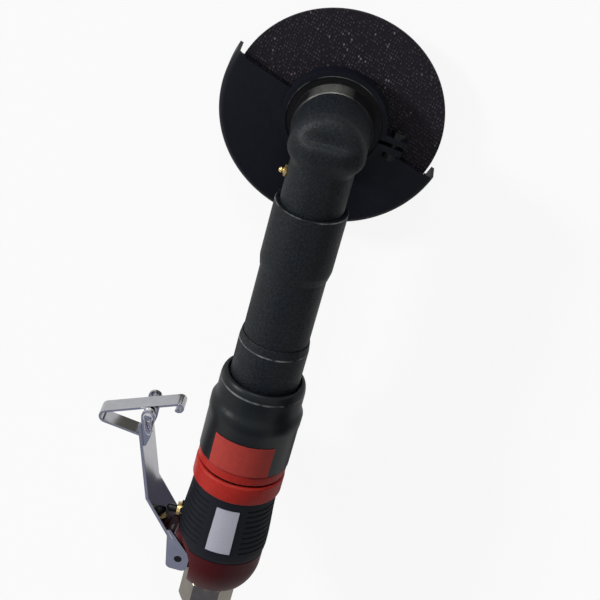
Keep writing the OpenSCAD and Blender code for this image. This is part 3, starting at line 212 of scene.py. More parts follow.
def grid(name, points, wrap_u=False, wrap_v=False):
    """Mesh object of a grid of points: quads join each point to its next along both parameters.

    A wrapped parameter joins its last row to its first.
    """
    rows, columns = points.shape[:2]
    steps_u = np.arange(rows if wrap_u else rows - 1)
    steps_v = np.arange(columns if wrap_v else columns - 1)
    u, v = np.meshgrid(steps_u, steps_v, indexing="ij")
    u_next, v_next = (u + 1) % rows, (v + 1) % columns
    row, row_next = u * columns, u_next * columns
    quads = np.stack([row + v, row_next + v, row_next + v_next, row + v_next], axis=-1)
    mesh = bpy.data.meshes.new(name)
    mesh.from_pydata(points.reshape(-1, 3), [], quads.reshape(-1, 4).tolist())
    return shown(name, mesh)


def shown(name, mesh):
    """Object of a mesh with joined points and outward faces, shaded smooth but for sharp edges."""
    work = bmesh.new()
    work.from_mesh(mesh)
    bmesh.ops.remove_doubles(work, verts=work.verts, dist=SAME_POINT)
    bmesh.ops.recalc_face_normals(work, faces=work.faces)
    work.to_mesh(mesh)
    work.free()
    mesh.shade_smooth()
    mesh.set_sharp_from_angle(angle=SHARP_ANGLE)
    piece = bpy.data.objects.new(name, mesh)
    bpy.context.scene.collection.objects.link(piece)
    return piece


def stand_for(piece, node):
    """Dresses a piece in its node's finish, moves it with the node's body and hides the node."""
    body = next(b for b, members in frame["record"]["behaviour"]["bodies"].items() if node in members)
    piece.data.materials.append(finish_of(node))
    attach(piece, body)
    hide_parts(node)
    return piece


def rounded(outline, cut, steps=6):
    """Closed outline whose corners give way to parabolas that start and end a cut from each corner.

    Each is (1-s)^2 A + 2 s (1-s) P + s^2 B for the corner P and the points A and B on its two sides.
    """
    p = np.asarray(outline, float)
    back, ahead = np.roll(p, 1, axis=0) - p, np.roll(p, -1, axis=0) - p
    cuts = np.broadcast_to(cut, len(p))[:, None]
    back_len = np.linalg.norm(back, axis=1, keepdims=True)
    ahead_len = np.linalg.norm(ahead, axis=1, keepdims=True)
    a = p + back / back_len * np.minimum(cuts, 0.45 * back_len)
    b = p + ahead / ahead_len * np.minimum(cuts, 0.45 * ahead_len)
    s = np.linspace(0, 1, steps)[None, :, None]
    curve = (1 - s) ** 2 * a[:, None] + 2 * s * (1 - s) * p[:, None] + s ** 2 * b[:, None]
    return curve.reshape(-1, 2)


def revolved(name, outline, steps=128):
    """Surface (x, r cos t, r sin t) of a closed outline of x and r turned about the tool's axis."""
    x, r = np.asarray(outline, float).T
    t = np.linspace(0, 2 * np.pi, steps, endpoint=False)
    points = np.stack(
        [np.repeat(x[:, None], steps, axis=1), np.outer(r, np.cos(t)), np.outer(r, np.sin(t))], axis=-1
    )
    return grid(name, points, wrap_u=True, wrap_v=True)


def smooth_low(a, b, reach):
    """Smooth minimum: where both are near, it sinks by h^2 k / 4 with h = 1 - |a - b| / k."""
    h = np.maximum(1 - np.abs(a - b) / reach, 0)
    return np.minimum(a, b) - h ** 2 * reach / 4


def head_field(p, sizes, head_r):
    """Signed field of the head, below zero inside: a flat-topped dome and a barrel flow together.

    The dome is a cylinder about the spindle axis under half an ellipsoid, cut flat. Its upper rear is
    drawn in towards the neck. The barrel goes on from the round neck, rises by a swell and grows
    squarer, (y^n + z^n)^(1/n) with n from 2 to 3. It ends ahead of the spindle axis in a rounded edge.
    """
    x, y, z = p[..., 0] - SPINDLE_X, p[..., 1], p[..., 2]
    dome = sizes.dome_height
    rise = np.maximum(z - (HEAD_HIGH[2] + DOME_LIFT - dome), 0)
    rear = head_r - sizes.head_waist * np.clip(1 + z / WAIST_DEPTH, 0, 1)
    ahead = np.where(x > 0, x / sizes.head_front, x / rear)
    body = (np.sqrt(ahead ** 2 + (y / head_r) ** 2 + (rise / dome) ** 2) - 1) * head_r
    capped = -smooth_low(-body, sizes.head_flat - z, FLAT_FILLET)
    swell = np.clip((x + SWELL_RUN) / SWELL_RUN, 0, 1)
    swell = swell ** 2 * (3 - 2 * swell)
    power = 2 + swell
    level = z / (1 + sizes.barrel_swell * swell / sizes.neck_radius)
    across = (np.abs(y) ** power + np.abs(level) ** power) ** (1 / power)
    barrel = -smooth_low(sizes.neck_radius - across, sizes.barrel_front - x, BARREL_ROUND)
    return smooth_low(capped, barrel, sizes.head_blend)


def head_points(sizes, start_x, rings=160, around=144, halvings=40, passes=3):
    """Grid of the head's skin: rings in planes along the neck that then swing to the head's foot.

    The planes swing about a line across the inner corner of the elbow. In each plane the ring's point
    at an angle is where a ray from the middle leaves the head's field, found by halving an interval.
    Each reach is then averaged with its two neighbours along the planes, which softens the creases.
    """
    head_r = HEAD_HIGH[0] - SPINDLE_X
    hinge = np.array([SPINDLE_X - head_r - ELBOW_GAP, 0, HEAD_LOW[2]])
    straight = np.linspace(start_x, hinge[0], rings // 4, endpoint=False)
    swing = np.linspace(0, np.pi / 2, rings - len(straight))
    turn = np.concatenate([np.zeros_like(straight), swing])
    base_x = np.concatenate([straight, np.full_like(swing, hinge[0])])
    base = np.stack([base_x, np.zeros_like(turn), np.full_like(turn, hinge[2])], axis=-1)
    reach = -hinge[2] + (SPINDLE_X - hinge[0] + hinge[2]) * turn / (np.pi / 2)
    out = np.stack([np.sin(turn), np.zeros_like(turn), np.cos(turn)], axis=-1)
    middle = base + reach[:, None] * out
    angle = np.linspace(0, 2 * np.pi, around, endpoint=False)
    across = np.array([0, 1, 0])
    rays = np.cos(angle)[None, :, None] * out[:, None] + np.sin(angle)[None, :, None] * across
    near, far = np.zeros(rays.shape[:2]), np.full(rays.shape[:2], 3 * head_r)
    for _ in range(halvings):
        half = (near + far) / 2
        inside = head_field(middle[:, None] + half[..., None] * rays, sizes, head_r) < 0
        near, far = np.where(inside, half, near), np.where(inside, far, half)
    for _ in range(passes):
        near[1:-1] = (near[:-2] + 2 * near[1:-1] + near[2:]) / 4
    return middle[:, None] + near[..., None] * rays


class GRINDER_OT_head(bpy.types.Operator):
    """Skin of the angle head: a domed head that flows into the neck"""

    bl_idname = "grinder.head"
    bl_label = "Angle head"

    def execute(self, context):
        sizes = context.scene.grinder_sizes
        start_x = UPPER_HIGH[0] - SLEEVE_LIP
        piece = grid("head_casting", head_points(sizes, start_x), wrap_v=True)
        wall = piece.modifiers.new("wall", "SOLIDIFY")
        wall.thickness = sizes.head_wall
        wall.offset = -1
        wall.use_rim = True
        stand_for(piece, "angle_head")
        return {"FINISHED"}


class GRINDER_OT_sleeves(bpy.types.Operator):
    """Skins of the two sleeves on the extension tube, turned with rounded edges"""

    bl_idname = "grinder.sleeves"
    bl_label = "Sleeves"

    def execute(self, context):
        sizes = context.scene.grinder_sizes
        edge, neck_r, tube_r = sizes.edge_round, sizes.neck_radius, sizes.tube_radius
        upper_r, lower_r = UPPER_HIGH[1], LOWER_HIGH[1]
        taper, inner, neck = sizes.sleeve_taper, tube_r + SLEEVE_SEAT, neck_r + SLEEVE_SEAT
        rear, front = UPPER_LOW[0], UPPER_HIGH[0]
        upper = [
            (rear, inner), (rear, tube_r + UPPER_STEP), (rear + taper, upper_r), (front, upper_r),
            (front, neck), (front - SLEEVE_LIP, neck), (front - SLEEVE_LIP, inner),
        ]
        rear, front = LOWER_LOW[0], LOWER_HIGH[0]
        lower = [
            (rear, inner), (rear, lower_r), (front - taper, lower_r), (front, tube_r + LOWER_STEP),
            (front, inner),
        ]
        stand_for(revolved("upper_sleeve_skin", rounded(upper, edge)), "upper_sleeve")
        stand_for(revolved("lower_sleeve_skin", rounded(lower, edge)), "lower_sleeve")
        return {"FINISHED"}


def copied(node):
    """Copy of a solid with its triangles joined."""
    mesh = bpy.data.meshes.new(node + "_skin")
    work = bmesh.new()
    work.from_mesh(NODES[node].data)
    bmesh.ops.remove_doubles(work, verts=work.verts, dist=10 * SAME_POINT)
    bmesh.ops.dissolve_limit(work, angle_limit=np.radians(0.5), verts=work.verts, edges=work.edges)
    work.to_mesh(mesh)
    work.free()
    return shown(node + "_skin", mesh)


def softened(node, width, segments=3):
    """Copy of a solid whose sharp edges are rounded by a width."""
    piece = copied(node)
    bevel = piece.modifiers.new("edges", "BEVEL")
    bevel.width = width
    bevel.segments = segments
    bevel.limit_method = "ANGLE"
    bevel.angle_limit = SHARP_ANGLE
    bevel.harden_normals = True
    return stand_for(piece, node)


class GRINDER_OT_pressings(bpy.types.Operator):
    """Pressed sheet parts with rounded edges: throttle lever, safety latch and guard"""

    bl_idname = "grinder.pressings"
    bl_label = "Lever, latch and guard"

    def execute(self, context):
        sizes = context.scene.grinder_sizes
        for node in ("throttle_lever", "safety_latch", "guard"):
            softened(node, sizes.press_round)
        return {"FINISHED"}


class GRINDER_OT_turnings(bpy.types.Operator):
    """Turned and cast parts with rounded edges: housing, collars, rear cap, inlet and bearing cap"""

    bl_idname = "grinder.turnings"
    bl_label = "Housing, collars, cap and inlet"

    def execute(self, context):
        sizes = context.scene.grinder_sizes
        for share, nodes in TURNINGS:
            for node in nodes:
                softened(node, share * sizes.edge_round)
        return {"FINISHED"}


def tube_points(path, radius, around=10):
    """Grid of a round wire: rings carried along a path without twist, with a point at each end."""
    path = np.asarray(path, float)
    along = np.gradient(path, axis=0)
    along /= np.linalg.norm(along, axis=1, keepdims=True)
    side = np.cross(along[0], [0.3, 0.5, 0.8])
    rings = []
    angle = np.linspace(0, 2 * np.pi, around, endpoint=False)
    for point, ahead in zip(path, along):
        side = side - ahead * (side @ ahead)
        side /= np.linalg.norm(side)
        other = np.cross(ahead, side)
        rings.append(point + radius * (np.outer(np.cos(angle), side) + np.outer(np.sin(angle), other)))
    ends = [np.repeat(path[i][None], around, axis=0) for i in (0, -1)]
    return np.stack([ends[0], *rings, ends[1]])


def curve_through(points, steps=8):
    """Catmull-Rom curve through points: each span is a cubic of its two ends and their neighbours."""
    p = np.asarray(points, float)
    p = np.concatenate([[2 * p[0] - p[1]], p, [2 * p[-1] - p[-2]]])
    t = np.linspace(0, 1, steps, endpoint=False)[:, None]
    spans = [
        0.5 * (
            2 * b + (c - a) * t
            + (2 * a - 5 * b + 4 * c - d) * t ** 2 + (3 * b - a - 3 * c + d) * t ** 3
        )
        for a, b, c, d in zip(p, p[1:], p[2:], p[3:])
    ]
    return np.concatenate([*spans, p[-2:-1]])


class GRINDER_OT_wires(bpy.types.Operator):
    """Wire forms at the latch: its coiled spring and the clip on its pin"""

    bl_idname = "grinder.wires"
    bl_label = "Latch spring and clip"

    def execute(self, context):
        sizes = context.scene.grinder_sizes
        pin = np.array(JOINTS["latch_fold"]["pos_m"])
        high = corners("latch_spring")[1]
        wire = sizes.spring_wire
        t = np.linspace(0, 2 * np.pi * sizes.spring_turns, 40 * sizes.spring_turns)
        top, bottom = high[2] - wire, corners("safety_latch")[1][2] + 2 * wire
        coil = pin + np.stack(
            [sizes.coil_radius * np.cos(t), sizes.coil_radius * np.sin(t),
             bottom + (top - bottom) * t / t[-1]], axis=-1
        )
        down = np.array([-np.cos(sizes.lever_slope), -np.sin(sizes.lever_slope), 0])
        across = np.array([-down[1], down[0], 0])
        leg = [coil[-1] + down * d for d in np.linspace(*LEG_SPAN, 8) * MM]
        stub = [coil[0] - across * d for d in np.linspace(*STUB_SPAN, 5) * MM]
        spring = tube_points([*stub, *coil, *leg], wire)
        stand_for(grid("latch_spring_wire", spring, wrap_v=True), "latch_spring")
        reach, wide = sizes.clip_length, sizes.clip_width / 2
        level = pin + np.array([0, 0, corners("throttle_lever")[1][2] + 1.5 * wire])
        loop = [
            (0, -wide), (0.4, -1.2 * wide), (0.8, -wide), (1, 0),
            (0.8, wide), (0.4, 1.2 * wide), (0, wide),
        ]
        path = curve_through([level + down * reach * a + across * b for a, b in loop])
        clip = grid("latch_pin_clip", tube_points(path, sizes.clip_wire), wrap_v=True)
        clip.data.materials.append(finish_of("latch_pin"))
        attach(clip, "lever")
        return {"FINISHED"}


class GRINDER_OT_valve_spring(bpy.types.Operator):
    """Valve spring: a copy of its solid on its own mesh, moving with its body"""

    bl_idname = "grinder.valve_spring"
    bl_label = "Valve spring"

    def execute(self, context):
        piece = stand_for(copied("valve_spring"), "valve_spring")
        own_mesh(piece)
        return {"FINISHED"}


class GRINDER_OT_finishes(bpy.types.Operator):
    """Finishes of the solids that show as they are"""

    bl_idname = "grinder.finishes"
    bl_label = "Finishes"

    def execute(self, context):
        for name, solid in NODES.items():
            solid.data.materials.clear()
            solid.data.materials.append(finish_of(name))
        return {"FINISHED"}


def put(tree, kind, feeds=None, stops=None, **settings):
    """Adds a node with its settings and colour stops, and feeds its sockets values or outputs."""
    node = tree.nodes.new(kind)
    for key, value in settings.items():
        setattr(node, key, value)
    for key, value in (feeds or {}).items():
        if isinstance(value, bpy.types.NodeSocket):
            tree.links.new(value, node.inputs[key])
        else:
            node.inputs[key].default_value = value
    for place, (position, value) in enumerate(stops or []):
        ramp = node.color_ramp.elements
        stop = ramp[place] if place < len(ramp) else ramp.new(position)
        stop.position = position
        stop.color = value
    return node


def maths(tree, operation, *values):
    """Output of a math node fed with values or outputs in order."""
    return put(tree, "ShaderNodeMath", dict(enumerate(values)), operation=operation).outputs["Value"]


def mapped(tree, value, low, high, least=0.0, most=1.0):
    """Output that runs from least to most while a value runs from low to high."""
    feeds = {"Value": value, "From Min": low, "From Max": high, "To Min": least, "To Max": most}
    return put(tree, "ShaderNodeMapRange", feeds).outputs["Result"]


def noise(tree, place, size, detail, **more):
    """Noise texture with features of a real size."""
    feeds = {"Vector": place, "Scale": 1 / size, "Detail": detail, **more}
    return put(tree, "ShaderNodeTexNoise", feeds)


def shade(value, factor):
    """A linear colour made lighter or darker."""
    return (*(min(1.0, c * factor) for c in value[:3]), 1.0)


def blank(name):
    """New material with its tree, its shader and the object's own coordinates."""
    material = bpy.data.materials.new(name)
    material.use_nodes = True
    tree = material.node_tree
    shader = tree.nodes["Principled BSDF"]
    return material, tree, shader, put(tree, "ShaderNodeTexCoord").outputs["Object"]


def grained(name, dark, light, grain, rough, depth, contrast=(0.35, 0.65), strength=0.4, **constants):
    """Finish whose colour, roughness and relief vary with a fine grain of a real size."""
    material, tree, shader, place = blank(name)
    fine = noise(tree, place, grain, 4.0, Roughness=0.6).outputs["Fac"]
    stops = [(contrast[0], dark), (contrast[1], light)]
    tint = put(tree, "ShaderNodeValToRGB", {"Fac": fine}, stops).outputs["Color"]
    wear = noise(tree, place, 20 * grain, 3.0).outputs["Fac"]
    gloss = mapped(tree, wear, 0.3, 0.7, *rough)
    bump = put(tree, "ShaderNodeBump", {"Height": fine, "Distance": depth, "Strength": strength})
    tree.links.new(tint, shader.inputs["Base Color"])
    tree.links.new(gloss, shader.inputs["Roughness"])
    tree.links.new(bump.outputs["Normal"], shader.inputs["Normal"])
    for key, value in constants.items():
        shader.inputs[key.replace("_", " ").title().replace("Ior", "IOR")].default_value = value
    return material


def textured_powder_coat(sizes, colours):
    """Textured black powder coat: sandy, with grains that catch the light, and painted highlight lines of bare
    metal at the sleeve edges.
    """
    material = grained(
        "textured_powder_coat", shade(colours.coat, 0.3), shade(colours.coat, 3.2), sizes.coat_grain,
        (0.44, 0.56), 0.3 * MM, contrast=(0.42, 0.66), strength=0.8, specular_ior_level=0.18,
    )
    tree = material.node_tree
    place = put(tree, "ShaderNodeTexCoord").outputs["Object"]
    # Painted highlight lines of bare metal at the upper sleeve's front edge and round the lower sleeve's crest,
    # broken up like wear
    lip_highlight = worn_ring_highlight(tree, place, UPPER_HIGH[0] - 0.3 * sizes.edge_round, UPPER_HIGH[1], 0.4 * MM)
    crest = worn_ring_highlight(tree, place, LOWER_HIGH[0] - sizes.sleeve_taper, LOWER_HIGH[1], 0.5 * MM)
    mix_wear_and_highlight(tree, maths(tree, "MAXIMUM", lip_highlight, crest), colours.bare)
    return material


def worn_ring_highlight(tree, place, along, radius, width):
    """Share of bare metal, in patches, that paints a highlight line and reads as wear: one on a ring round the
    first axis, none a width from it.
    """
    part = put(tree, "ShaderNodeSeparateXYZ", {"Vector": place}).outputs
    flat = put(tree, "ShaderNodeCombineXYZ", {"Y": part["Y"], "Z": part["Z"]}).outputs["Vector"]
    out = put(tree, "ShaderNodeVectorMath", {0: flat}, operation="LENGTH").outputs["Value"]
    spot = put(tree, "ShaderNodeCombineXYZ", {"X": part["X"], "Y": out}).outputs["Vector"]
    away = put(
        tree, "ShaderNodeVectorMath", {0: spot, 1: (along, radius, 0)}, operation="DISTANCE"
    ).outputs["Value"]
    near = mapped(tree, away, width, 0.3 * width)
    some = mapped(tree, noise(tree, place, PATCH_SIZE, 5.0).outputs["Fac"], 0.4, 0.66)
    return maths(tree, "MULTIPLY", near, some)


def about_spindle(tree, place):
    """Coordinates whose first axis is the spindle's."""
    part = put(tree, "ShaderNodeSeparateXYZ", {"Vector": place}).outputs
    ahead = maths(tree, "SUBTRACT", part["X"], SPINDLE_X)
    turned = {"X": part["Z"], "Y": ahead, "Z": part["Y"]}
    return put(tree, "ShaderNodeCombineXYZ", turned).outputs["Vector"]


def mix_wear_and_highlight(tree, bare, metal):
    """Mixes bare metal into a finish's colour by a share: wear and painted highlight at once."""
    base = tree.nodes["Principled BSDF"].inputs["Base Color"]
    coat = base.links[0].from_socket
    mixed = put(tree, "ShaderNodeMix", {"Factor": bare, 6: coat, 7: metal}, data_type="RGBA")
    tree.links.new(mixed.outputs[2], base)


def satin_powder_coat(sizes, colours):
    """Smooth black powder coat on a casting: even and softly glossy, with a painted highlight line of bare metal
    round the crest of its mouth.
    """
    material = grained(
        "satin_powder_coat", shade(colours.housing, 0.85), shade(colours.housing, 1.15), 1.5 * MM,
        (0.34, 0.42), 0.05 * MM, strength=0.15, specular_ior_level=0.16,
    )
    tree = material.node_tree
    place = put(tree, "ShaderNodeTexCoord").outputs["Object"]
    crest_x = corners("motor_housing")[1][0] - sizes.mouth_depth
    # Painted highlight line of bare metal round the mouth's crest
    mouth = worn_ring_highlight(tree, place, crest_x, sizes.crest_radius, 0.7 * MM)
    mix_wear_and_highlight(tree, mouth, colours.bare)
    return material


def guard_enamel(sizes, colours):
    """Dipped blue-black enamel on pressed steel: smooth and satin, with a painted highlight line of bare metal
    round the top of its clamp's bore, strongest at the front.
    """
    material = grained(
        "guard_enamel", shade(colours.guard, 0.8), shade(colours.guard, 1.2), 2.5 * MM,
        (0.36, 0.46), 0.05 * MM, strength=0.15, specular_ior_level=0.15,
    )
    tree = material.node_tree
    place = about_spindle(tree, put(tree, "ShaderNodeTexCoord").outputs["Object"])
    # Painted highlight line of bare metal round the clamp's bore, strongest at the front
    clamp = worn_ring_highlight(tree, place, corners("guard")[1][2], sizes.clamp_bore, 0.4 * MM)
    rubbed = maths(tree, "MULTIPLY", clamp, at_front(tree, place, 0.2, 1.0))
    mix_wear_and_highlight(tree, rubbed, colours.bare)
    return material


def bonded_abrasive(sizes, colours):
    """Resin-bonded abrasive with glass mesh: dark grit, uneven rows of crossings, a few glints."""
    material, tree, shader, place = blank("bonded_abrasive")
    turned = put(
        tree, "ShaderNodeMapping",
        {"Vector": place, "Rotation": (0, 0, np.radians(14)), "Scale": (0.8, 1.15, 1)},
    ).outputs["Vector"]
    drift = noise(tree, turned, 3 * MM, 2.0).outputs["Color"]
    pull = (1.2 * MM, 1.2 * MM, 0)
    pulled = put(
        tree, "ShaderNodeVectorMath", {0: drift, 1: pull, 2: turned}, operation="MULTIPLY_ADD"
    ).outputs["Vector"]
    knots = put(
        tree, "ShaderNodeTexVoronoi",
        {"Vector": pulled, "Scale": 1 / sizes.mesh_pitch, "Randomness": 0.35}, voronoi_dimensions="2D",
    ).outputs
    pick = put(tree, "ShaderNodeSeparateColor", {"Color": knots["Color"]}).outputs
    spot = mapped(tree, knots["Distance"], 0.46, 0.12)
    knot = maths(tree, "MULTIPLY", spot, pick["Red"])
    grit = noise(tree, place, 0.5 * MM, 3.0).outputs["Fac"]
    relief = maths(tree, "MULTIPLY_ADD", grit, 0.5, knot)
    tint = put(
        tree, "ShaderNodeValToRGB", {"Fac": relief},
        [(0.15, shade(colours.disc, 0.6)), (0.5, colours.disc), (1.0, colours.thread)],
    ).outputs["Color"]
    glint = maths(tree, "MULTIPLY", mapped(tree, pick["Green"], 0.97, 0.99), spot)
    mixed = put(
        tree, "ShaderNodeMix", {"Factor": glint, 6: tint, 7: colours.glint}, data_type="RGBA"
    ).outputs[2]
    bump = put(tree, "ShaderNodeBump", {"Height": relief, "Distance": 0.4 * MM, "Strength": 0.6})
    tree.links.new(mixed, shader.inputs["Base Color"])
    tree.links.new(bump.outputs["Normal"], shader.inputs["Normal"])
    shader.inputs["Roughness"].default_value = 0.75
    shader.inputs["Specular IOR Level"].default_value = 0.15
    return material


def red_coat(sizes, colours):
    """Red coating on turned aluminium: satin, with fine turning marks under the colour."""
    return grained(
        "red_coated_aluminium", shade(colours.red, 0.88), shade(colours.red, 1.1), 1.2 * MM,
        (0.36, 0.46), 0.03 * MM, strength=0.15, specular_ior_level=0.15,
    )


def dark_red_coat(sizes, colours):
    """Dark red coating on a casting: deep, satin and a little uneven."""
    return grained(
        "dark_red_coated_casting", shade(colours.dark_red, 0.85), shade(colours.dark_red, 1.12),
        1.2 * MM, (0.4, 0.5), 0.04 * MM, strength=0.2, specular_ior_level=0.12,
    )


def red_film(sizes, colours):
    """Red vinyl film, bare: flat and smooth with a slight sheen."""
    return grained(
        "red_vinyl_film", shade(colours.film, 0.94), shade(colours.film, 1.05), 3 * MM,
        (0.42, 0.5), 0.02 * MM, strength=0.1, specular_ior_level=0.18,
    )


def silver_plate(sizes, colours):
    """Satin aluminium plate, bare: pale, with a fine even blast."""
    return grained(
        "satin_aluminium_plate", shade(colours.plate, 0.93), shade(colours.plate, 1.05), 0.6 * MM,
        (0.42, 0.5), 0.02 * MM, strength=0.2, metallic=0.35,
    )


def moulded_rubber(sizes, colours):
    """Moulded black rubber: matt, faintly dusty on its high spots."""
    return grained(
        "moulded_rubber", shade(colours.rubber, 0.75), shade(colours.rubber, 1.3), 0.9 * MM,
        (0.6, 0.72), 0.05 * MM, strength=0.3, specular_ior_level=0.15,
    )


def seal_rubber(sizes, colours):
    """Nitrile seal rubber: black and matt."""
    return grained(
        "seal_nitrile", shade(colours.rubber, 0.8), shade(colours.rubber, 1.4), 0.5 * MM,
        (0.5, 0.6), 0.02 * MM,
    )


def chrome_plate(sizes, colours):
    """Bright chrome plate on pressed steel: mirror-like, with the sheet's faint ripple."""
    return grained(
        "chrome_plate", shade(colours.chrome, 0.95), shade(colours.chrome, 1.03), 4 * MM,
        (0.08, 0.16), 0.03 * MM, strength=0.12, metallic=1.0,
    )


def nickel_plate(sizes, colours):
    """Bright nickel plate on turned steel: warm and a little worn."""
    return grained(
        "nickel_plate", shade(colours.nickel, 0.88), shade(colours.nickel, 1.05), 3 * MM,
        (0.12, 0.24), 0.03 * MM, strength=0.12, metallic=1.0,
    )


def turned_brass(sizes, colours):
    """Turned brass: yellow and bright with a light tarnish."""
    return grained(
        "turned_brass", shade(colours.brass, 0.8), shade(colours.brass, 1.08), 1.5 * MM,
        (0.18, 0.3), 0.02 * MM, strength=0.12, metallic=1.0,
    )


def ground_steel(sizes, colours):
    """Ground steel: grey and satin with fine scratches."""
    return grained(
        "ground_steel", shade(colours.steel, 0.85), shade(colours.steel, 1.08), 0.7 * MM,
        (0.28, 0.4), 0.02 * MM, strength=0.2, metallic=1.0,
    )


def at_front(tree, place, spread, most):
    """Share that is highest in the direction of the painted highlights and falls to nothing round the first axis.
    """
    flat = put(
        tree, "ShaderNodeVectorMath", {0: place, 1: (0, 1, 1)}, operation="MULTIPLY"
    ).outputs["Vector"]
    aim = put(tree, "ShaderNodeVectorMath", {0: flat}, operation="NORMALIZE").outputs["Vector"]
    highlight_side = (0, np.cos(HIGHLIGHT_AZIMUTH), np.sin(HIGHLIGHT_AZIMUTH))
    front = put(
        tree, "ShaderNodeVectorMath", {0: aim, 1: highlight_side}, operation="DOT_PRODUCT"
    ).outputs["Value"]
    return mapped(tree, front, spread, 1.0, most=most)


def turned_ring_with_highlight(sizes, colours):
    """Dark turned steel ring with a blackened flange and a painted highlight on the front of its wall"""
    material = grained(
        "turned_steel_ring_with_highlight", shade(colours.oxide, 0.8), shade(colours.oxide, 1.3), 0.7 * MM,
        (0.36, 0.44), 0.02 * MM, strength=0.15, metallic=0.5, specular_ior_level=0.2,
    )
    tree = material.node_tree
    place = about_spindle(tree, put(tree, "ShaderNodeTexCoord").outputs["Object"])
    level = put(tree, "ShaderNodeSeparateXYZ", {"Vector": place}).outputs["X"]
    wall = maths(tree, "GREATER_THAN", level, HEAD_LOW[2] - sizes.ring_band)
    streaks = noise(tree, place, 2.5 * MM, 3.0).outputs["Fac"]
    some = mapped(tree, streaks, 0.2, 0.6, least=0.5)
    # Painted highlight: lighter colour on the ring's wall, strongest at the front and streaked
    front_highlight = maths(tree, "MULTIPLY", at_front(tree, place, 0.82, 0.6), some)
    bare = maths(tree, "MULTIPLY", front_highlight, wall)
    mix_wear_and_highlight(tree, bare, colours.ring)
    return material


def black_oxide(sizes, colours):
    """Blackened steel: dark, with an oily sheen."""
    return grained(
        "black_oxide_steel", shade(colours.oxide, 0.8), shade(colours.oxide, 1.3), 1 * MM,
        (0.32, 0.44), 0.02 * MM, strength=0.2, metallic=0.6,
    )


def ground_iron(sizes, colours):
    """Ground grey iron: dull grey with an open grain."""
    return grained(
        "ground_iron", shade(colours.steel, 0.4), shade(colours.steel, 0.62), 0.6 * MM,
        (0.4, 0.55), 0.03 * MM, strength=0.3, metallic=0.9,
    )


def machined_alloy(sizes, colours):
    """Machined aluminium: pale grey and satin."""
    return grained(
        "machined_aluminium", shade(colours.steel, 0.9), shade(colours.steel, 1.12), 0.8 * MM,
        (0.3, 0.42), 0.02 * MM, strength=0.2, metallic=1.0,
    )


def phenolic_laminate(sizes, colours):
    """Cloth-laminated phenolic: brown, dry and finely banded."""
    brown = linear("#6b4526")
    return grained(
        "phenolic_laminate", shade(brown, 0.8), shade(brown, 1.2), 0.5 * MM, (0.5, 0.6), 0.03 * MM
    )


MAKERS = {
    "crinkle": textured_powder_coat, "housing": satin_powder_coat, "guard": guard_enamel,
    "disc": bonded_abrasive, "red_coat": red_coat, "dark_red": dark_red_coat, "red_film": red_film,
    "badge": silver_plate, "rubber": moulded_rubber, "seal": seal_rubber, "chrome": chrome_plate,
    "nickel": nickel_plate, "brass": turned_brass, "steel": ground_steel, "dark_steel": black_oxide,
    "iron": ground_iron, "alloy": machined_alloy, "vane": phenolic_laminate, "ring_steel": turned_ring_with_highlight,
}
FINISHES = {}


def finish_of(node):
    """Material of a node's slot, made once."""
    slot = SLOT_OF[node]
    if slot not in FINISHES:
        scene = bpy.context.scene
        FINISHES[slot] = MAKERS[slot](scene.grinder_sizes, scene.grinder_colours)
    return FINISHES[slot]


class GRINDER_OT_stage(bpy.types.Operator):
    """Pale floor, soft light, cards seen only in reflections that paint reflections and shade, and the camera"""

    bl_idname = "grinder.stage"
    bl_label = "Stage"

    def execute(self, context):
        lay_floor(context.scene)
        hang_lights(context.scene)
        ground = CAD_BOX[0].z - context.scene.grinder_sizes.floor_drop / 2
        # Painted reflections: the grey card overhead paints a grey reflection on up-facing plated faces; the dark
        # cards on the floor under the grip and the latch, and off to the side, paint shade into what the plated
        # and glossy parts reflect
        hang_card("reflection_card_above", (-0.30, 0, 0.62), (0, 0.5, 0), (0.26, 0, 0.147), "#8d90a3")
        hang_card("shade_card_below", (0.045, -0.026, ground), (0.035, 0, 0), (0, 0.034, 0), "#45434f")
        hang_card("shade_card_side", (0.1, -0.45, 0.1), (0.3, 0, 0), (0, 0, 0.25), "#26262c")
        hang_card("shade_card_latch", (0.132, 0.036, ground), (0.02, 0, 0), (0, 0.022, 0), "#4e4a3e")
        place_camera(context.scene)
        context.scene.view_settings.view_transform = "Standard"
        return {"FINISHED"}


def seen_white(tree, lit, direct, mirrored):
    """Mixes a surface or background with white, by a share for the camera and one for reflections."""
    path = put(tree, "ShaderNodeLightPath").outputs
    bent = maths(tree, "MAXIMUM", path["Is Glossy Ray"], path["Is Transmission Ray"])
    bent = maths(tree, "MULTIPLY", bent, mirrored)
    share = maths(tree, "MULTIPLY_ADD", path["Is Camera Ray"], direct, bent)
    white = put(tree, "ShaderNodeEmission", {"Color": (1, 1, 1, 1), "Strength": 1.0})
    feeds = {0: share, 1: lit, 2: white.outputs["Emission"]}
    return put(tree, "ShaderNodeMixShader", feeds).outputs["Shader"]


def lay_floor(scene):
    """Flat floor under the lowest point, white to the camera but for a faint shadow."""
    level = CAD_BOX[0].z - scene.grinder_sizes.floor_drop
    side = np.linspace(-FLOOR_REACH, FLOOR_REACH, 2)
    x, y = np.meshgrid(side + SPINDLE_X / 2, side, indexing="ij")
    floor = grid("floor", np.stack([x, y, np.full_like(x, level)], axis=-1))
    material, tree, shader, _ = blank("pale_floor")
    shader.inputs["Base Color"].default_value = scene.grinder_colours.floor
    shader.inputs["Roughness"].default_value = 0.9
    surface = seen_white(tree, shader.outputs["BSDF"], *FLOOR_WHITE)
    tree.links.new(surface, tree.nodes["Material Output"].inputs["Surface"])
    floor.data.materials.append(material)


